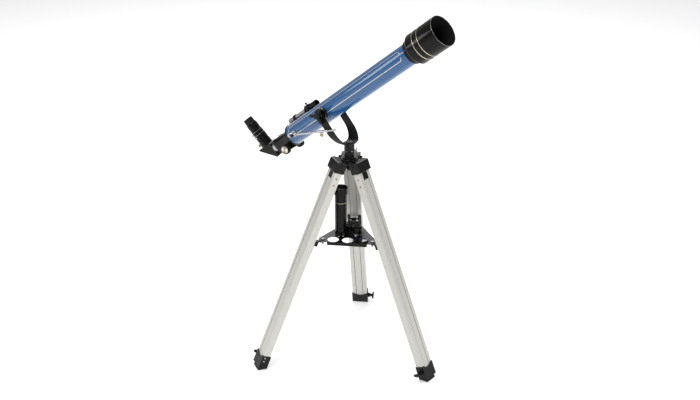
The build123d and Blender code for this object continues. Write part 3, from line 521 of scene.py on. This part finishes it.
class Shell:
    """Collects closed grids in mm. The grain is kept in metres and runs along `axis`, or in
    rings round it if the shell has a centre."""

    def __init__(self, axis=UP, centre=None):
        self.axes = axes_of(axis)
        self.centre = centre
        self.points = []
        self.quads = []
        self.count = 0

    def add(self, points):
        """One grid whose rows and columns both close on themselves."""
        rows, columns = points.shape[:2]
        index = np.arange(rows * columns).reshape(rows, columns) + self.count
        below = np.roll(index, -1, axis=0)
        quads = np.stack([index, below, np.roll(below, -1, axis=1), np.roll(index, -1, axis=1)], axis=-1)
        self.points.append(points.reshape(-1, 3))
        self.quads.append(quads.reshape(-1, 4))
        self.count += rows * columns
        return self

    def spin(self, origin, axis, outline, corner=0.4, segments=72, ribs=None):
        """A turned part with its corners eased."""
        return self.add(spun_grid(origin, axis, round_corners(outline, corner), segments, ribs))

    def screw(self, origin, axis, radius, height):
        """A round screw head with a slightly domed top and a dimple in the middle."""
        dome = [(0, 0), (0, radius), (height * 0.7, radius), (height, radius * 0.8),
                (height, radius * 0.35), (height * 0.6, radius * 0.25), (height * 0.6, 0)]
        return self.spin(origin, axis, dome, 0.25, 28)

    def box(self, centre, directions, size, radius=0.6):
        """A box with soft edges."""
        return self.add(box_grid(centre, directions, size, radius))

    def grain_of(self, points):
        """Along and across the grain; in rings it is side, station and radius."""
        if self.centre is None:
            return points @ self.axes.T
        station, side, over = ((points - self.centre) @ self.axes.T).T
        return np.stack([side, station, np.hypot(side, over)], axis=1)

    def piece(self, name, body, finish, *replaced):
        """Joins seams and poles, turns the faces outwards, stores the grain and binds the piece."""
        mesh = bpy.data.meshes.new(name)
        mesh.from_pydata(np.concatenate(self.points) * MM, [], np.concatenate(self.quads).tolist())
        work = bmesh.new()
        work.from_mesh(mesh)
        bmesh.ops.remove_doubles(work, verts=work.verts, dist=1e-6)
        bmesh.ops.recalc_face_normals(work, faces=work.faces)
        work.to_mesh(mesh)
        work.free()
        store_grain(mesh, self.grain_of)
        smooth(mesh)
        return bind(mesh, name, finish, body, replaced)


def points_of(mesh):
    """The mesh's points in mm."""
    flat = np.empty(len(mesh.vertices) * 3)
    mesh.vertices.foreach_get("co", flat)
    return flat.reshape(-1, 3) / MM


def store_grain(mesh, grain_of):
    """Keeps where each point lies along and across the grain, in metres."""
    stored = mesh.attributes.new("grain", "FLOAT_VECTOR", "POINT")
    stored.data.foreach_set("vector", (grain_of(points_of(mesh)) * MM).ravel())


print("surface helpers ready")

# %% [markdown]
# ## Edges that catch the light
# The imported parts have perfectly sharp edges, which nothing real has. A merged copy of each one
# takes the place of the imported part: flat stretches become single faces again, and a bevel of a
# fraction of a millimetre runs along every edge. How wide it is says how the part was made.
# Castings and mouldings are rounder than stamped or sawn metal.

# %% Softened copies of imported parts
BODY_OF = {node: body for body, group in frame["record"]["behaviour"]["bodies"].items() for node in group}


def along(axis):
    """Grain function of a part whose lines run along one direction."""
    return lambda points: points @ axes_of(axis).T


def leg_grain(points):
    """Grain down whichever leg is nearest to each point."""
    angle = np.arctan2(points[:, 1], points[:, 0])
    grain = np.zeros_like(points)
    for leg in legs.values():
        heading = math.atan2(leg.radial[1], leg.radial[0])
        nearest = np.cos(angle - heading) >= 0.5
        grain[nearest] = leg.local(points[nearest])
    return grain


def softened(name, finish, width, grain_of=None):
    """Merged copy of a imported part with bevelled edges, `width` in mm."""
    source = nodes[name].data
    triangles = [tuple(face.vertices) for face in source.polygons]
    mesh = bpy.data.meshes.new(name + "_soft")
    mesh.from_pydata([tuple(vertex.co) for vertex in source.vertices], [], triangles)
    work = bmesh.new()
    work.from_mesh(mesh)
    bmesh.ops.remove_doubles(work, verts=work.verts, dist=2e-6)
    bmesh.ops.dissolve_limit(
        work, angle_limit=math.radians(0.6), verts=work.verts, edges=work.edges
    )
    work.to_mesh(mesh)
    work.free()
    store_grain(mesh, grain_of or along(UP))
    smooth(mesh)
    piece = bind(mesh, name + "_soft", finish, BODY_OF[name], [name])
    if width:
        bevel = piece.modifiers.new("eased edges", "BEVEL")
        bevel.width = width * MM
        bevel.segments = 2
        bevel.limit_method = "ANGLE"
        bevel.angle_limit = math.radians(38)
        bevel.use_clamp_overlap = False
        bevel.harden_normals = True
    return piece


LEG_NAMES = tuple(legs)
SOFT_PARTS = [
    ("leg_rails", leg_metal, 0.35, leg_grain),
    ("hinge_blocks", housing_gloss, 0.9, None),
    ("tripod_head", housing_gloss, 2.4, None),
    ("hinge_bolts", housing_black, 0.4, None),
    ("pier", mount_enamel, 0.8, None),
    ("tray", tray_coat, 0.3, None),
    ("tray_brackets", mount_enamel, 0.4, None),
    ("tray_links", mount_enamel, 0.5, None),
    ("tray_bolts", zinc, 0.4, None),
    ("azimuth_lock_screw", plate, 0.5, None),
    ("yoke", mount_enamel, 0.9, None),
    ("azimuth_shaft", zinc, 0.4, None),
    ("yoke_hardware", zinc, 0.25, None),
    ("altitude_knob_near", housing_gloss, 0.9, None),
    ("altitude_knob_far", housing_gloss, 0.9, None),
    ("trunnions", polished_black, 0.9, None),
    ("inner_rings", flat_black, 0.0, None),
    ("objective_lenses", lens_glass, 0.0, None),
    ("focuser_body", housing_gloss, 0.6, None),
    ("focuser_screws", zinc, 0.3, None),
    ("finder_bracket", mount_enamel, 0.6, None),
    ("finder_lenses", dark_glass, 0.2, None),
    ("rod_clamp", plate, 0.5, None),
    ("slow_motion_rod", plate, 0.3, along(joints["rod_sleeve_slide"]["axis"])),
    ("rod_sleeve", plate, 0.5, None),
    ("focus_shaft", plate, 0.3, along(NEAR)),
    ("drawtube", plate, 0.2, along(ALONG)),
    ("diagonal_body", housing_gloss, 0.9, None),
    ("diagonal_prism", dark_glass, 0.2, None),
    ("diagonal_screw", brass, 0.4, None),
]
for leg_name in LEG_NAMES:
    SOFT_PARTS += [
        (f"inner_leg_{leg_name}", leg_metal, 0.4, legs[leg_name].local),
        (f"foot_{leg_name}", foot_rubber, 0.8, None),
        (f"boot_{leg_name}", housing_black, 0.6, None),
        (f"lock_screw_{leg_name}", housing_black, 0.7, None),
    ]
for row in SOFT_PARTS:
    softened(*row)
print("softened", len(SOFT_PARTS), "packed parts")

# %% [markdown]
# ## Main tube
# The tube is a rolled sheet with a painted skin and a flat black lining, so it is two thin
# shells. A fine gold line is printed on the side that faces the viewer: a long rectangle with
# round ends that follows the skin.

# %% Main tube, lining and gold line
TUBE_LENGTH = 523.0
TUBE_RADIUS = 32.0
TUBE_WALL = 1.2
LINING = 0.3
inner_radius = TUBE_RADIUS - TUBE_WALL
Shell(ALONG).spin(REAR, ALONG, [
    (0, inner_radius + LINING), (0, TUBE_RADIUS), (TUBE_LENGTH, TUBE_RADIUS),
    (TUBE_LENGTH, inner_radius + LINING)], 0.3, 144).piece(
        "main_tube_skin", "optical_tube", tube_paint, "main_tube")
Shell(ALONG).spin(REAR, ALONG, [
    (1, inner_radius), (1, inner_radius + LINING - 0.02), (TUBE_LENGTH - 1, inner_radius + LINING - 0.02),
    (TUBE_LENGTH - 1, inner_radius)], 0.1, 96).piece("tube_lining", "optical_tube", flat_black)

LINE_START, LINE_END = 12.0, 500.0
LINE_LOW, LINE_HIGH = math.radians(-9.0), math.radians(41.0)
LINE_WIDTH, LINE_HEIGHT = 1.5, 0.12
LINE_CORNER = 9.0


def rounded_rectangle(low, high, radius, steps=10):
    """Closed path of a rectangle from low to high whose corners are quarter circles."""
    turn = np.linspace(0.0, np.pi / 2, steps)
    centres = [(high[0] - radius, high[1] - radius), (low[0] + radius, high[1] - radius),
               (low[0] + radius, low[1] + radius), (high[0] - radius, low[1] + radius)]
    arcs = []
    for quarter, centre in enumerate(centres):
        angle = turn + quarter * np.pi / 2
        arcs.append(np.array(centre) + radius * np.stack([np.cos(angle), np.sin(angle)], axis=1))
    return np.concatenate(arcs)


def on_skin(flat):
    """Points, outward and forward directions on the tube of a flat (station, arc length) path."""
    angle = flat[:, 1] / TUBE_RADIUS
    outward = np.cos(angle)[:, None] * NEAR + np.sin(angle)[:, None] * RISE
    points = REAR + flat[:, :1] * ALONG + outward * (TUBE_RADIUS - 0.01)
    tangent = np.roll(points, -1, axis=0) - np.roll(points, 1, axis=0)
    tangent /= np.linalg.norm(tangent, axis=1)[:, None]
    return points, outward, np.cross(outward, tangent)


flat_path = rounded_rectangle(
    (LINE_START, LINE_LOW * TUBE_RADIUS), (LINE_END, LINE_HIGH * TUBE_RADIUS), LINE_CORNER)
path, outward, across = on_skin(flat_path)
Shell(ALONG).add(ribbon_grid(path, outward, across, LINE_WIDTH, LINE_HEIGHT)).piece(
    "gold_line", "optical_tube", gilt)
print("tube and gold line", len(flat_path), "points")

# %% [markdown]
# ## Lens cell and dew shield
# The dew shield is polished outside and flat black inside. It starts with a stepped collar and
# ends in a thin bright rim, and two fine raised rings run round it.

# %% Lens cell and dew shield
CELL_RADIUS = 36.0
CELL_START = 518.0
CELL_END = 552.0
SEAT = TUBE_LENGTH + 0.3
SHADE_START = 530.0
SHADE_END = 640.0
SHADE_RADIUS = 45.7
SHADE_INNER = 43.9
SHADE_BORE = 36.1
RING_SET_BACKS = (57.3, 76.1)

Shell(ALONG).spin(REAR, ALONG, [
    (CELL_START, TUBE_RADIUS + 0.1), (CELL_START, CELL_RADIUS - 1.4),
    (CELL_START + 1.5, CELL_RADIUS - 1.0),
    (CELL_START + 1.8, CELL_RADIUS), (CELL_START + 5, CELL_RADIUS), (CELL_START + 5.4, CELL_RADIUS - 0.5),
    (CELL_START + 7.0, CELL_RADIUS - 0.5), (CELL_START + 7.4, CELL_RADIUS), (CELL_END, CELL_RADIUS),
    (CELL_END, CELL_RADIUS - 4.5), (SEAT + 3, CELL_RADIUS - 4.5), (SEAT + 3, CELL_RADIUS - 7),
    (SEAT, CELL_RADIUS - 7), (SEAT, TUBE_RADIUS + 0.1)], 0.25, 120).piece(
        "lens_cell_turned", "optical_tube", polished_black, "lens_cell")
Shell(ALONG).spin(REAR, ALONG, [
    (SHADE_START, SHADE_BORE), (SHADE_START, 38.6), (SHADE_START + 1.2, 39.6), (SHADE_START + 4.0, 39.8),
    (SHADE_START + 4.4, 41.8), (SHADE_START + 7.0, 42.4), (SHADE_START + 7.4, 44.4),
    (SHADE_START + 9.5, SHADE_RADIUS), (SHADE_END - 0.8, SHADE_RADIUS),
    (SHADE_END - 0.8, SHADE_INNER + 0.4), (CELL_END + 0.5, SHADE_INNER + 0.4),
    (CELL_END - 3.0, 38.2), (CELL_END - 3.0, SHADE_BORE)],
    0.4, 144).piece("dew_shield_turned", "optical_tube", polished_black, "dew_shield")
Shell(ALONG).spin(REAR, ALONG, [
    (CELL_END + 1.0, SHADE_INNER), (CELL_END + 1.0, SHADE_INNER + 0.35),
    (SHADE_END - 1.0, SHADE_INNER + 0.35), (SHADE_END - 1.0, SHADE_INNER)], 0.1, 120).piece(
        "dew_shield_lining", "optical_tube", flat_black)
Shell(ALONG).spin(REAR, ALONG, [
    (SHADE_END - 0.75, SHADE_INNER + 0.9), (SHADE_END - 0.75, SHADE_RADIUS - 0.1),
    (SHADE_END, SHADE_RADIUS - 0.4), (SHADE_END, SHADE_INNER + 0.9)], 0.2, 144).piece(
        "dew_shield_rim", "optical_tube", grey_anodised)
rings = Shell(ALONG)
for set_back in RING_SET_BACKS:
    station = SHADE_END - set_back
    rings.spin(REAR, ALONG, [
        (station, SHADE_RADIUS - 0.05), (station, SHADE_RADIUS + 0.3),
        (station + 0.9, SHADE_RADIUS + 0.5),
        (station + 1.8, SHADE_RADIUS + 0.3), (station + 1.8, SHADE_RADIUS - 0.05)], 0.2, 144)
rings.piece("trim_rings", "optical_tube", trim, "shade_trim_rings")
print("lens cell, dew shield and rings")

# %% [markdown]
# ## Focuser, finder and their small screws
# The focus knobs have deep ribs and a spun metal disc in their face. The finder is a small
# refractor of its own, held by a bracket and three adjusting screws.

# %% Focus knobs
KNOB_STATION = -29.0
KNOB_DROP = 25.5
KNOB_INNER = 27.5
KNOB_WIDTH = 13.0
KNOB_RADIUS = 15.0
knob_centre = on_tube(KNOB_STATION, 0.0, -KNOB_DROP)
grips = Shell(NEAR)
discs = Shell(NEAR, knob_centre)
for towards in (NEAR, FAR):
    grips.spin(knob_centre + towards * KNOB_INNER, towards, [
        (-3.5, 3.1), (-3.5, 6.3), (-0.2, 6.5), (-0.1, 12.0), (0.6, KNOB_RADIUS - 0.6), (1.4, KNOB_RADIUS),
        (KNOB_WIDTH - 1.4, KNOB_RADIUS), (KNOB_WIDTH - 0.4, KNOB_RADIUS - 0.7),
        (KNOB_WIDTH, KNOB_RADIUS - 1.8), (KNOB_WIDTH, 3.1)],
        0.4, 240, ribs=(30, 0.9, 0.9, KNOB_WIDTH - 0.9))
    disc_base = KNOB_WIDTH + 0.02
    discs.spin(knob_centre + towards * KNOB_INNER, towards, [
        (disc_base, 0), (disc_base, 11.5), (disc_base + 0.7, 11.5), (disc_base + 1.1, 10.6),
        (disc_base + 0.7, 10.0), (disc_base + 0.9, 6.0), (disc_base + 0.5, 5.6), (disc_base + 0.5, 3.4),
        (disc_base + 1.1, 3.0), (disc_base + 1.2, 0)], 0.25, 96)
grips.piece("focus_grips", "focus_drive", housing_black, "focus_knobs")
discs.piece("focus_discs", "focus_drive", spun_painted_wedges, "knob_discs")
print("focus knobs at", knob_centre.round(1))

# %% Finder
FINDER_SIDE = 37.0
FINDER_RISE = 41.0
ADJUSTER_STATION = 70.0
ADJUSTER_ANGLES = (90.0, 210.0, 330.0)
SHANK_START = 12.6
KNURL_START = 14.8
finder_base = on_tube(0.0, FINDER_SIDE, FINDER_RISE)
Shell(ALONG).spin(finder_base, ALONG, [
    (-20, 5.6), (-20, 7.4), (-18.5, 7.9), (-8, 7.9), (-7, 7.1), (-2, 7.1), (-1.6, 7.6), (0, 7.6),
    (0.4, 7.0), (68, 7.0), (68, 5.6)], 0.3, 56).piece(
        "finder_barrel", "optical_tube", grey_anodised, "finder_tube")
Shell(ALONG).spin(finder_base, ALONG, [
    (56, 7.05), (56, 9.0), (57.5, 9.4), (59, 10.4), (60, 10.6), (84, 10.6), (84.4, 10.2), (86.0, 10.2),
    (86.4, 10.6), (108.6, 10.6), (110, 10.0), (110, 9.2), (70, 9.2), (70, 7.05)], 0.3, 72).piece(
        "finder_hood", "optical_tube", polished_black, "finder_front_cell")
adjusters = Shell(ALONG)
knurls = Shell(ALONG)
for angle in ADJUSTER_ANGLES:
    away = math.cos(math.radians(angle)) * FAR + math.sin(math.radians(angle)) * RISE
    centre = on_tube(ADJUSTER_STATION, FINDER_SIDE, FINDER_RISE)
    adjusters.spin(centre + away * SHANK_START, away, [
        (0, 0), (0, 1.6), (2.6, 1.6), (2.6, 0)], 0.2, 20)
    knurls.spin(centre + away * KNURL_START, away, [
        (0, 0), (0, 3.4), (5, 3.4), (5, 0)], 0.5, 64, ribs=(16, 0.4, 0.2, 4.8))
adjusters.piece("finder_screw_shanks", "optical_tube", zinc)
knurls.piece("finder_screw_knobs", "optical_tube", polished_black)
print("finder at", finder_base.round(1))

# %% [markdown]
# ## Diagonal and eyepiece
# The diagonal turns the light up into a stack of turned tubes: an erecting tube with stepped
# rings, the eyepiece, and a soft cup with lengthwise ribs.

# %% Eyepiece stack
EYE = direction(joints["eyepiece_pull"]["axis"])
DIAGONAL_STATION = -110.5
diagonal_centre = on_tube(DIAGONAL_STATION)
BARREL_RADIUS = 15.875
ERECTING_TOP = 76.0
SOCKET_FLOOR = ERECTING_TOP - 18.0
CUP_BASE = 103.0
CUP_TOP = 120.0
BAND_STATIONS = (61.4, 73.0)
BAND_SEAT = 17.8
Shell(EYE).spin(diagonal_centre, EYE, [
    (22.5, 12.5), (22.5, BARREL_RADIUS), (40.1, BARREL_RADIUS), (40.1, 17.4), (41, 17.8), (43, 17.8),
    (43.4, 18.6), (49.6, 18.6), (50, 17.9), (51.6, 17.9), (52, 18.6), (60, 18.6), (60.4, 17.8),
    (ERECTING_TOP - 0.6, 17.8), (ERECTING_TOP, 17.2), (ERECTING_TOP, 16.0), (SOCKET_FLOOR, 16.0),
    (SOCKET_FLOOR, 12.5)], 0.25, 96).piece(
        "erecting_tube_turned", "diagonal", glossy_enamel, "erecting_tube")
Shell(EYE).spin(diagonal_centre, EYE, [
    (SOCKET_FLOOR + 1, 12.0), (SOCKET_FLOOR + 1, BARREL_RADIUS), (ERECTING_TOP + 0.1, BARREL_RADIUS),
    (ERECTING_TOP + 0.1, 16.6), (ERECTING_TOP + 1, 17.0), (ERECTING_TOP + 5, 17.0),
    (ERECTING_TOP + 5.4, 16.5), (ERECTING_TOP + 7, 16.5), (ERECTING_TOP + 7.4, 17.2),
    (CUP_BASE - 7, 17.2), (CUP_BASE - 4.5, 16.9), (CUP_BASE, 15.6), (CUP_BASE, 13.0),
    (CUP_BASE - 12, 13.0), (CUP_BASE - 12, 12.0)], 0.3, 180,
    ribs=(48, 0.3, ERECTING_TOP + 8, CUP_BASE - 7.5)).piece(
        "eyepiece_turned", "eyepiece", glossy_enamel, "eyepiece_body")
Shell(EYE).spin(diagonal_centre, EYE, [
    (CUP_BASE + 0.1, 10.5), (CUP_BASE + 0.1, 15.2), (CUP_BASE + 2, 14.9), (CUP_TOP - 2.5, 14.8),
    (CUP_TOP, 13.8), (CUP_TOP, 12.4), (CUP_TOP - 3, 11.4), (CUP_BASE + 5, 10.5)], 0.6, 180,
    ribs=(36, 0.5, CUP_BASE + 2, CUP_TOP - 3.5)).piece(
        "eyecup_ribbed", "eyepiece", cup_rubber, "eyepiece_eyecup")
softened("eyepiece_lens", dark_glass, 0.0)
bands = Shell(EYE)
for station in BAND_STATIONS:
    bands.spin(diagonal_centre, EYE, [
        (station, BAND_SEAT - 0.1), (station, BAND_SEAT + 0.16), (station + 0.9, BAND_SEAT + 0.16),
        (station + 0.9, BAND_SEAT - 0.1)], 0.1, 96)
bands.piece("stack_rings", "diagonal", plate)
lock_screws = Shell(EYE)
for station, away in ((56.0, NEAR), (68.0, direction(NEAR - ALONG))):
    level = diagonal_centre + EYE * station
    square = direction(away - EYE * (away @ EYE))
    lock_screws.spin(level + square * 17.6, square, [
        (0, 0), (0, 1.4), (2.0, 1.4), (2.0, 2.6), (5.4, 2.6), (5.4, 0)], 0.3, 48)
lock_screws.piece("stack_lock_screws", "diagonal", plate)
COLLAR_START, COLLAR_END = -87.8, -85.7
COLLAR_RADIUS = 17.6
Shell(ALONG).spin(REAR, ALONG, [
    (COLLAR_START, BARREL_RADIUS + 0.05), (COLLAR_START, COLLAR_RADIUS),
    (COLLAR_END, COLLAR_RADIUS), (COLLAR_END, BARREL_RADIUS + 0.05)], 0.3, 96).piece(
        "diagonal_collar", "diagonal", plate)
print("eyepiece stack points along", EYE.round(3))

# %% [markdown]
# ## Slow motion rod
# A plated rod with a sleeve that slides on it. The sleeve is locked by a knurled brass nut that
# hangs under it.

# %% Rod collar
ROD = direction(joints["rod_sleeve_slide"]["axis"])
rod_start = np.array(joints["rod_pivot"]["pos_m"], float) / MM
collar = Shell(ROD, rod_start)
collar.spin(rod_start, ROD, [
    (7.0, 2.6), (7.0, 4.6), (9.0, 5.2), (21.0, 5.2), (23.0, 4.2), (27.0, 3.4), (27.0, 2.6)], 0.5, 64)
collar.piece("rod_collar", "rod", plate)
thumb = Shell(NEAR)
thumb.spin(rod_start + ROD * 15.0 + NEAR * 5.0, NEAR, [
    (0, 0), (0, 1.6), (1.6, 1.6), (1.6, 4.0), (6.0, 4.0), (6.4, 3.4), (6.4, 0)], 0.4, 72,
    ribs=(18, 0.5, 2.0, 5.8))
thumb.piece("rod_collar_screw", "rod", housing_black)
print("rod starts at", rod_start.round(1))

# %% Brass nut
NUT_AXIS = direction(joints["sleeve_nut_spin"]["axis"])
low, high = (np.array(corner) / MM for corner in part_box("rod_nut"))
nut_centre = (low + high) / 2
Shell(NUT_AXIS).spin(nut_centre, NUT_AXIS, [
    (-7.0, 0), (-7.0, 1.6), (-2.1, 1.6), (-2.1, 3.0), (-1.6, 5.4), (2.8, 5.4), (3.2, 4.4), (3.2, 1.6),
    (7.0, 1.6), (7.0, 0)], 0.35, 128, ribs=(32, 0.35, -1.4, 2.6)).piece(
        "brass_nut", "sleeve_nut", brass, "rod_nut")
print("brass nut at", nut_centre.round(1))

# %% [markdown]
# ## What stands on the tray
# A spare erecting tube and two eyepieces stand on the tray, and a filter sits in one of its
# holes. Each is a turned outline measured from the tray's top, with the steps, bands and glass
# that such accessories have.

# %% Spare erecting tube
TRAY_HEIGHT = 389.5
TRAY_SHEET = 1.4
TRAY_CLEARANCE = 0.05
TRAY_TOP = TRAY_HEIGHT + TRAY_SHEET + TRAY_CLEARANCE
SPARE_SCREW_ANGLES = (-101.0, -63.0)
spare_base = np.array([-24.0, -8.0, TRAY_TOP])
Shell().spin(spare_base, UP, [
    (0, 0), (0, 16.2), (1.2, 17.6), (6.0, 18.0), (6.6, 17.5), (8.2, 17.5), (8.8, 18.0), (30, 18.0),
    (30.6, 17.5), (31.6, 17.5), (32.2, 18.0), (118, 18.0), (118.6, 17.4), (120.4, 17.4), (121, 18.0),
    (136, 18.0), (136, 14.0), (3, 14.0), (3, 0)], 0.3, 96).piece(
        "spare_tube_turned", "spare_tube", glossy_enamel, "spare_tube")
Shell().spin(spare_base, UP, [
    (136.1, 0), (136.1, 20.2), (137.5, 21.0), (141, 21.0), (141.5, 20.6), (143, 20.6), (143.5, 21.0),
    (155.5, 21.0), (158, 20.0), (158, 17.4), (152, 16.0), (152, 0)], 0.5, 144,
    ribs=(48, 0.35, 144.0, 155.0)).piece(
        "spare_cap_turned", "spare_tube", polished_black, "spare_tube_cap")
dots = Shell()
for angle in SPARE_SCREW_ANGLES:
    away = level_direction(angle)
    dots.screw(spare_base + UP * 4.2 + away * 17.5, away, 1.5, 1.0)
dots.piece("spare_tube_screws", "spare_tube", gilt)
Shell().spin(spare_base, UP, [
    (152.05, 0), (152.05, 15.9), (152.35, 15.9), (152.35, 0)], 0.1, 64).piece(
        "spare_cap_lining", "spare_tube", flat_black)
Shell().spin(spare_base, UP, [
    (110.6, 17.9), (110.6, 18.12), (111.4, 18.12), (111.4, 17.9)], 0.1, 96).piece(
        "spare_tube_line", "spare_tube", gilt)
print("spare tube stands at z", TRAY_TOP)

# %% Loose eyepieces
short_base = np.array([0.0, 12.0, TRAY_TOP])
Shell().spin(short_base, UP, [
    (0, 0), (0, 8.6), (0.6, 9.0), (7.9, 9.0), (7.9, 0)], 0.3, 72).piece(
        "short_eyepiece_barrel", "short_eyepiece", plate)
Shell().spin(short_base, UP, [
    (8, 0), (8, 10.8), (9, 11.2), (12, 11.2), (12.4, 10.8), (13.4, 10.8), (13.8, 11.2), (19.5, 11.2),
    (23.4, 9.6), (24, 9.0), (24, 5.6), (22.5, 4.6), (22.5, 0)], 0.3, 96,
    ribs=(32, 0.3, 14.0, 19.2)).piece(
        "short_eyepiece_top", "short_eyepiece", glossy_enamel, "spare_eyepiece_short")
long_base = np.array([26.0, -9.0, TRAY_TOP])
Shell().spin(long_base, UP, [
    (0, 0), (0, 12.4), (0.6, 12.8), (11.9, 12.8), (11.9, 0)], 0.3, 72).piece(
        "long_eyepiece_barrel", "long_eyepiece", plate)
Shell().spin(long_base, UP, [
    (12, 0), (12, 14.1), (13, 14.5), (16, 14.5), (16.4, 14.0), (17.6, 14.0), (18, 14.5), (29.5, 14.5),
    (35.4, 11.8), (36, 11.0), (36, 7.0), (34, 6.0), (34, 0)], 0.35, 120,
    ribs=(36, 0.4, 18.4, 28.6)).piece(
        "long_eyepiece_top", "long_eyepiece", glossy_enamel, "spare_eyepiece_long")
print("two eyepieces stand at", short_base, "and", long_base)

# %% Filter
filter_base = np.array([43.4, -38.3, TRAY_TOP])
Shell().spin(filter_base, UP, [
    (-4.5, 0), (-4.5, 16.3), (-0.1, 16.6), (0, 16.7), (0.05, 18.9), (3.0, 18.9), (3.6, 18.4), (4.6, 16.7),
    (4.6, 12.7), (3.2, 12.7), (3.2, 0)], 0.25, 120).piece(
        "filter_ring", "filter_disc", polished_black, "filter_disc")
Shell().spin(filter_base, UP, [
    (3.25, 0), (3.25, 12.4), (3.9, 12.4), (4.1, 0)], 0.15, 72).piece(
        "filter_glass", "filter_disc", dark_glass)
print("filter sits at", filter_base)

# %% [markdown]
# ## Rivets, slots and screws
# Small fasteners show how the tripod is put together: two rivets on both sides of each leg near
# the hinge, two on each boot, two bright slots on the pier, and a knurled thumb screw at the
# rear of the tube. Flat black strips in the gaps in which the inner legs slide are painted shade.

# %% Leg and boot rivets
LEG_RIVET_STATIONS = (42.0, 63.0)
BOOT_RIVET_STATIONS = (639.0, 650.0)
BOOT_SIDE = 25.2
leg_rivets = Shell()
boot_rivets = Shell()
for leg in legs.values():
    for hand in (-1, 1):
        for station in LEG_RIVET_STATIONS:
            seat = leg.point(station, hand * (LEG_WIDTH / 2 - 0.05))
            leg_rivets.screw(seat, leg.across * hand, 2.9, 1.0)
    for station in BOOT_RIVET_STATIONS:
        boot_rivets.screw(leg.point(station, BOOT_SIDE, 5.0), leg.across, 2.6, 1.2)
leg_rivets.piece("leg_rivets", "tripod", bronze)
boot_rivets.piece("boot_rivets", "tripod", plate)
print("rivets at stations", LEG_RIVET_STATIONS, BOOT_RIVET_STATIONS)

# %% Painted shade strips in the gaps between the sliding leg and its rails
GAP_SHADE_START, GAP_SHADE_END = 15.0, 644.0
GAP_SHADE_ACROSS = 10.6
GAP_SHADE_OUT = 10.2
GAP_SHADE_SIZE = (GAP_SHADE_END - GAP_SHADE_START, 0.9, 1.0)
# Flat black boxes in the gaps between each inner leg and its rails: painted shade.
gap_shade_strips = Shell()
for leg in legs.values():
    for hand in (-1, 1):
        for face in (-1, 1):
            gap_shade_strips.box(
                leg.point((GAP_SHADE_START + GAP_SHADE_END) / 2, hand * GAP_SHADE_ACROSS, face * GAP_SHADE_OUT),
                (leg.down, leg.across, leg.outward), GAP_SHADE_SIZE, 0.2)
gap_shade_strips.piece("leg_gap_shade_strips", "tripod", flat_black)
print("painted gap shade strips", GAP_SHADE_SIZE, "mm")

# %% Pier slots and the tube's lock screw
PIER_RADIUS = 15.0
PIER_SLOT_HEIGHT = 664.0
PIER_SLOT_ANGLES = (-117.0, -48.0)
STOP_STATION = 8.0
pier_screws = Shell()
for angle in PIER_SLOT_ANGLES:
    away = level_direction(angle)
    pier_screws.box(
        UP * PIER_SLOT_HEIGHT + away * PIER_RADIUS, axes_of(away), (0.9, 4.4, 1.6), 0.4)
pier_screws.piece("pier_slots", "tripod", plate)
stop_screw = Shell(NEAR)
stop_screw.spin(on_tube(STOP_STATION) + NEAR * (TUBE_RADIUS - 0.1), NEAR, [
    (0, 0), (0, 2.2), (2.4, 2.2), (2.4, 4.2), (8.4, 4.2), (8.8, 3.6), (8.8, 0)],
    0.4, 72, ribs=(18, 0.5, 2.8, 8.2))
stop_screw.piece("tube_lock_screw", "optical_tube", housing_black)
print("slots and thumb screw set")
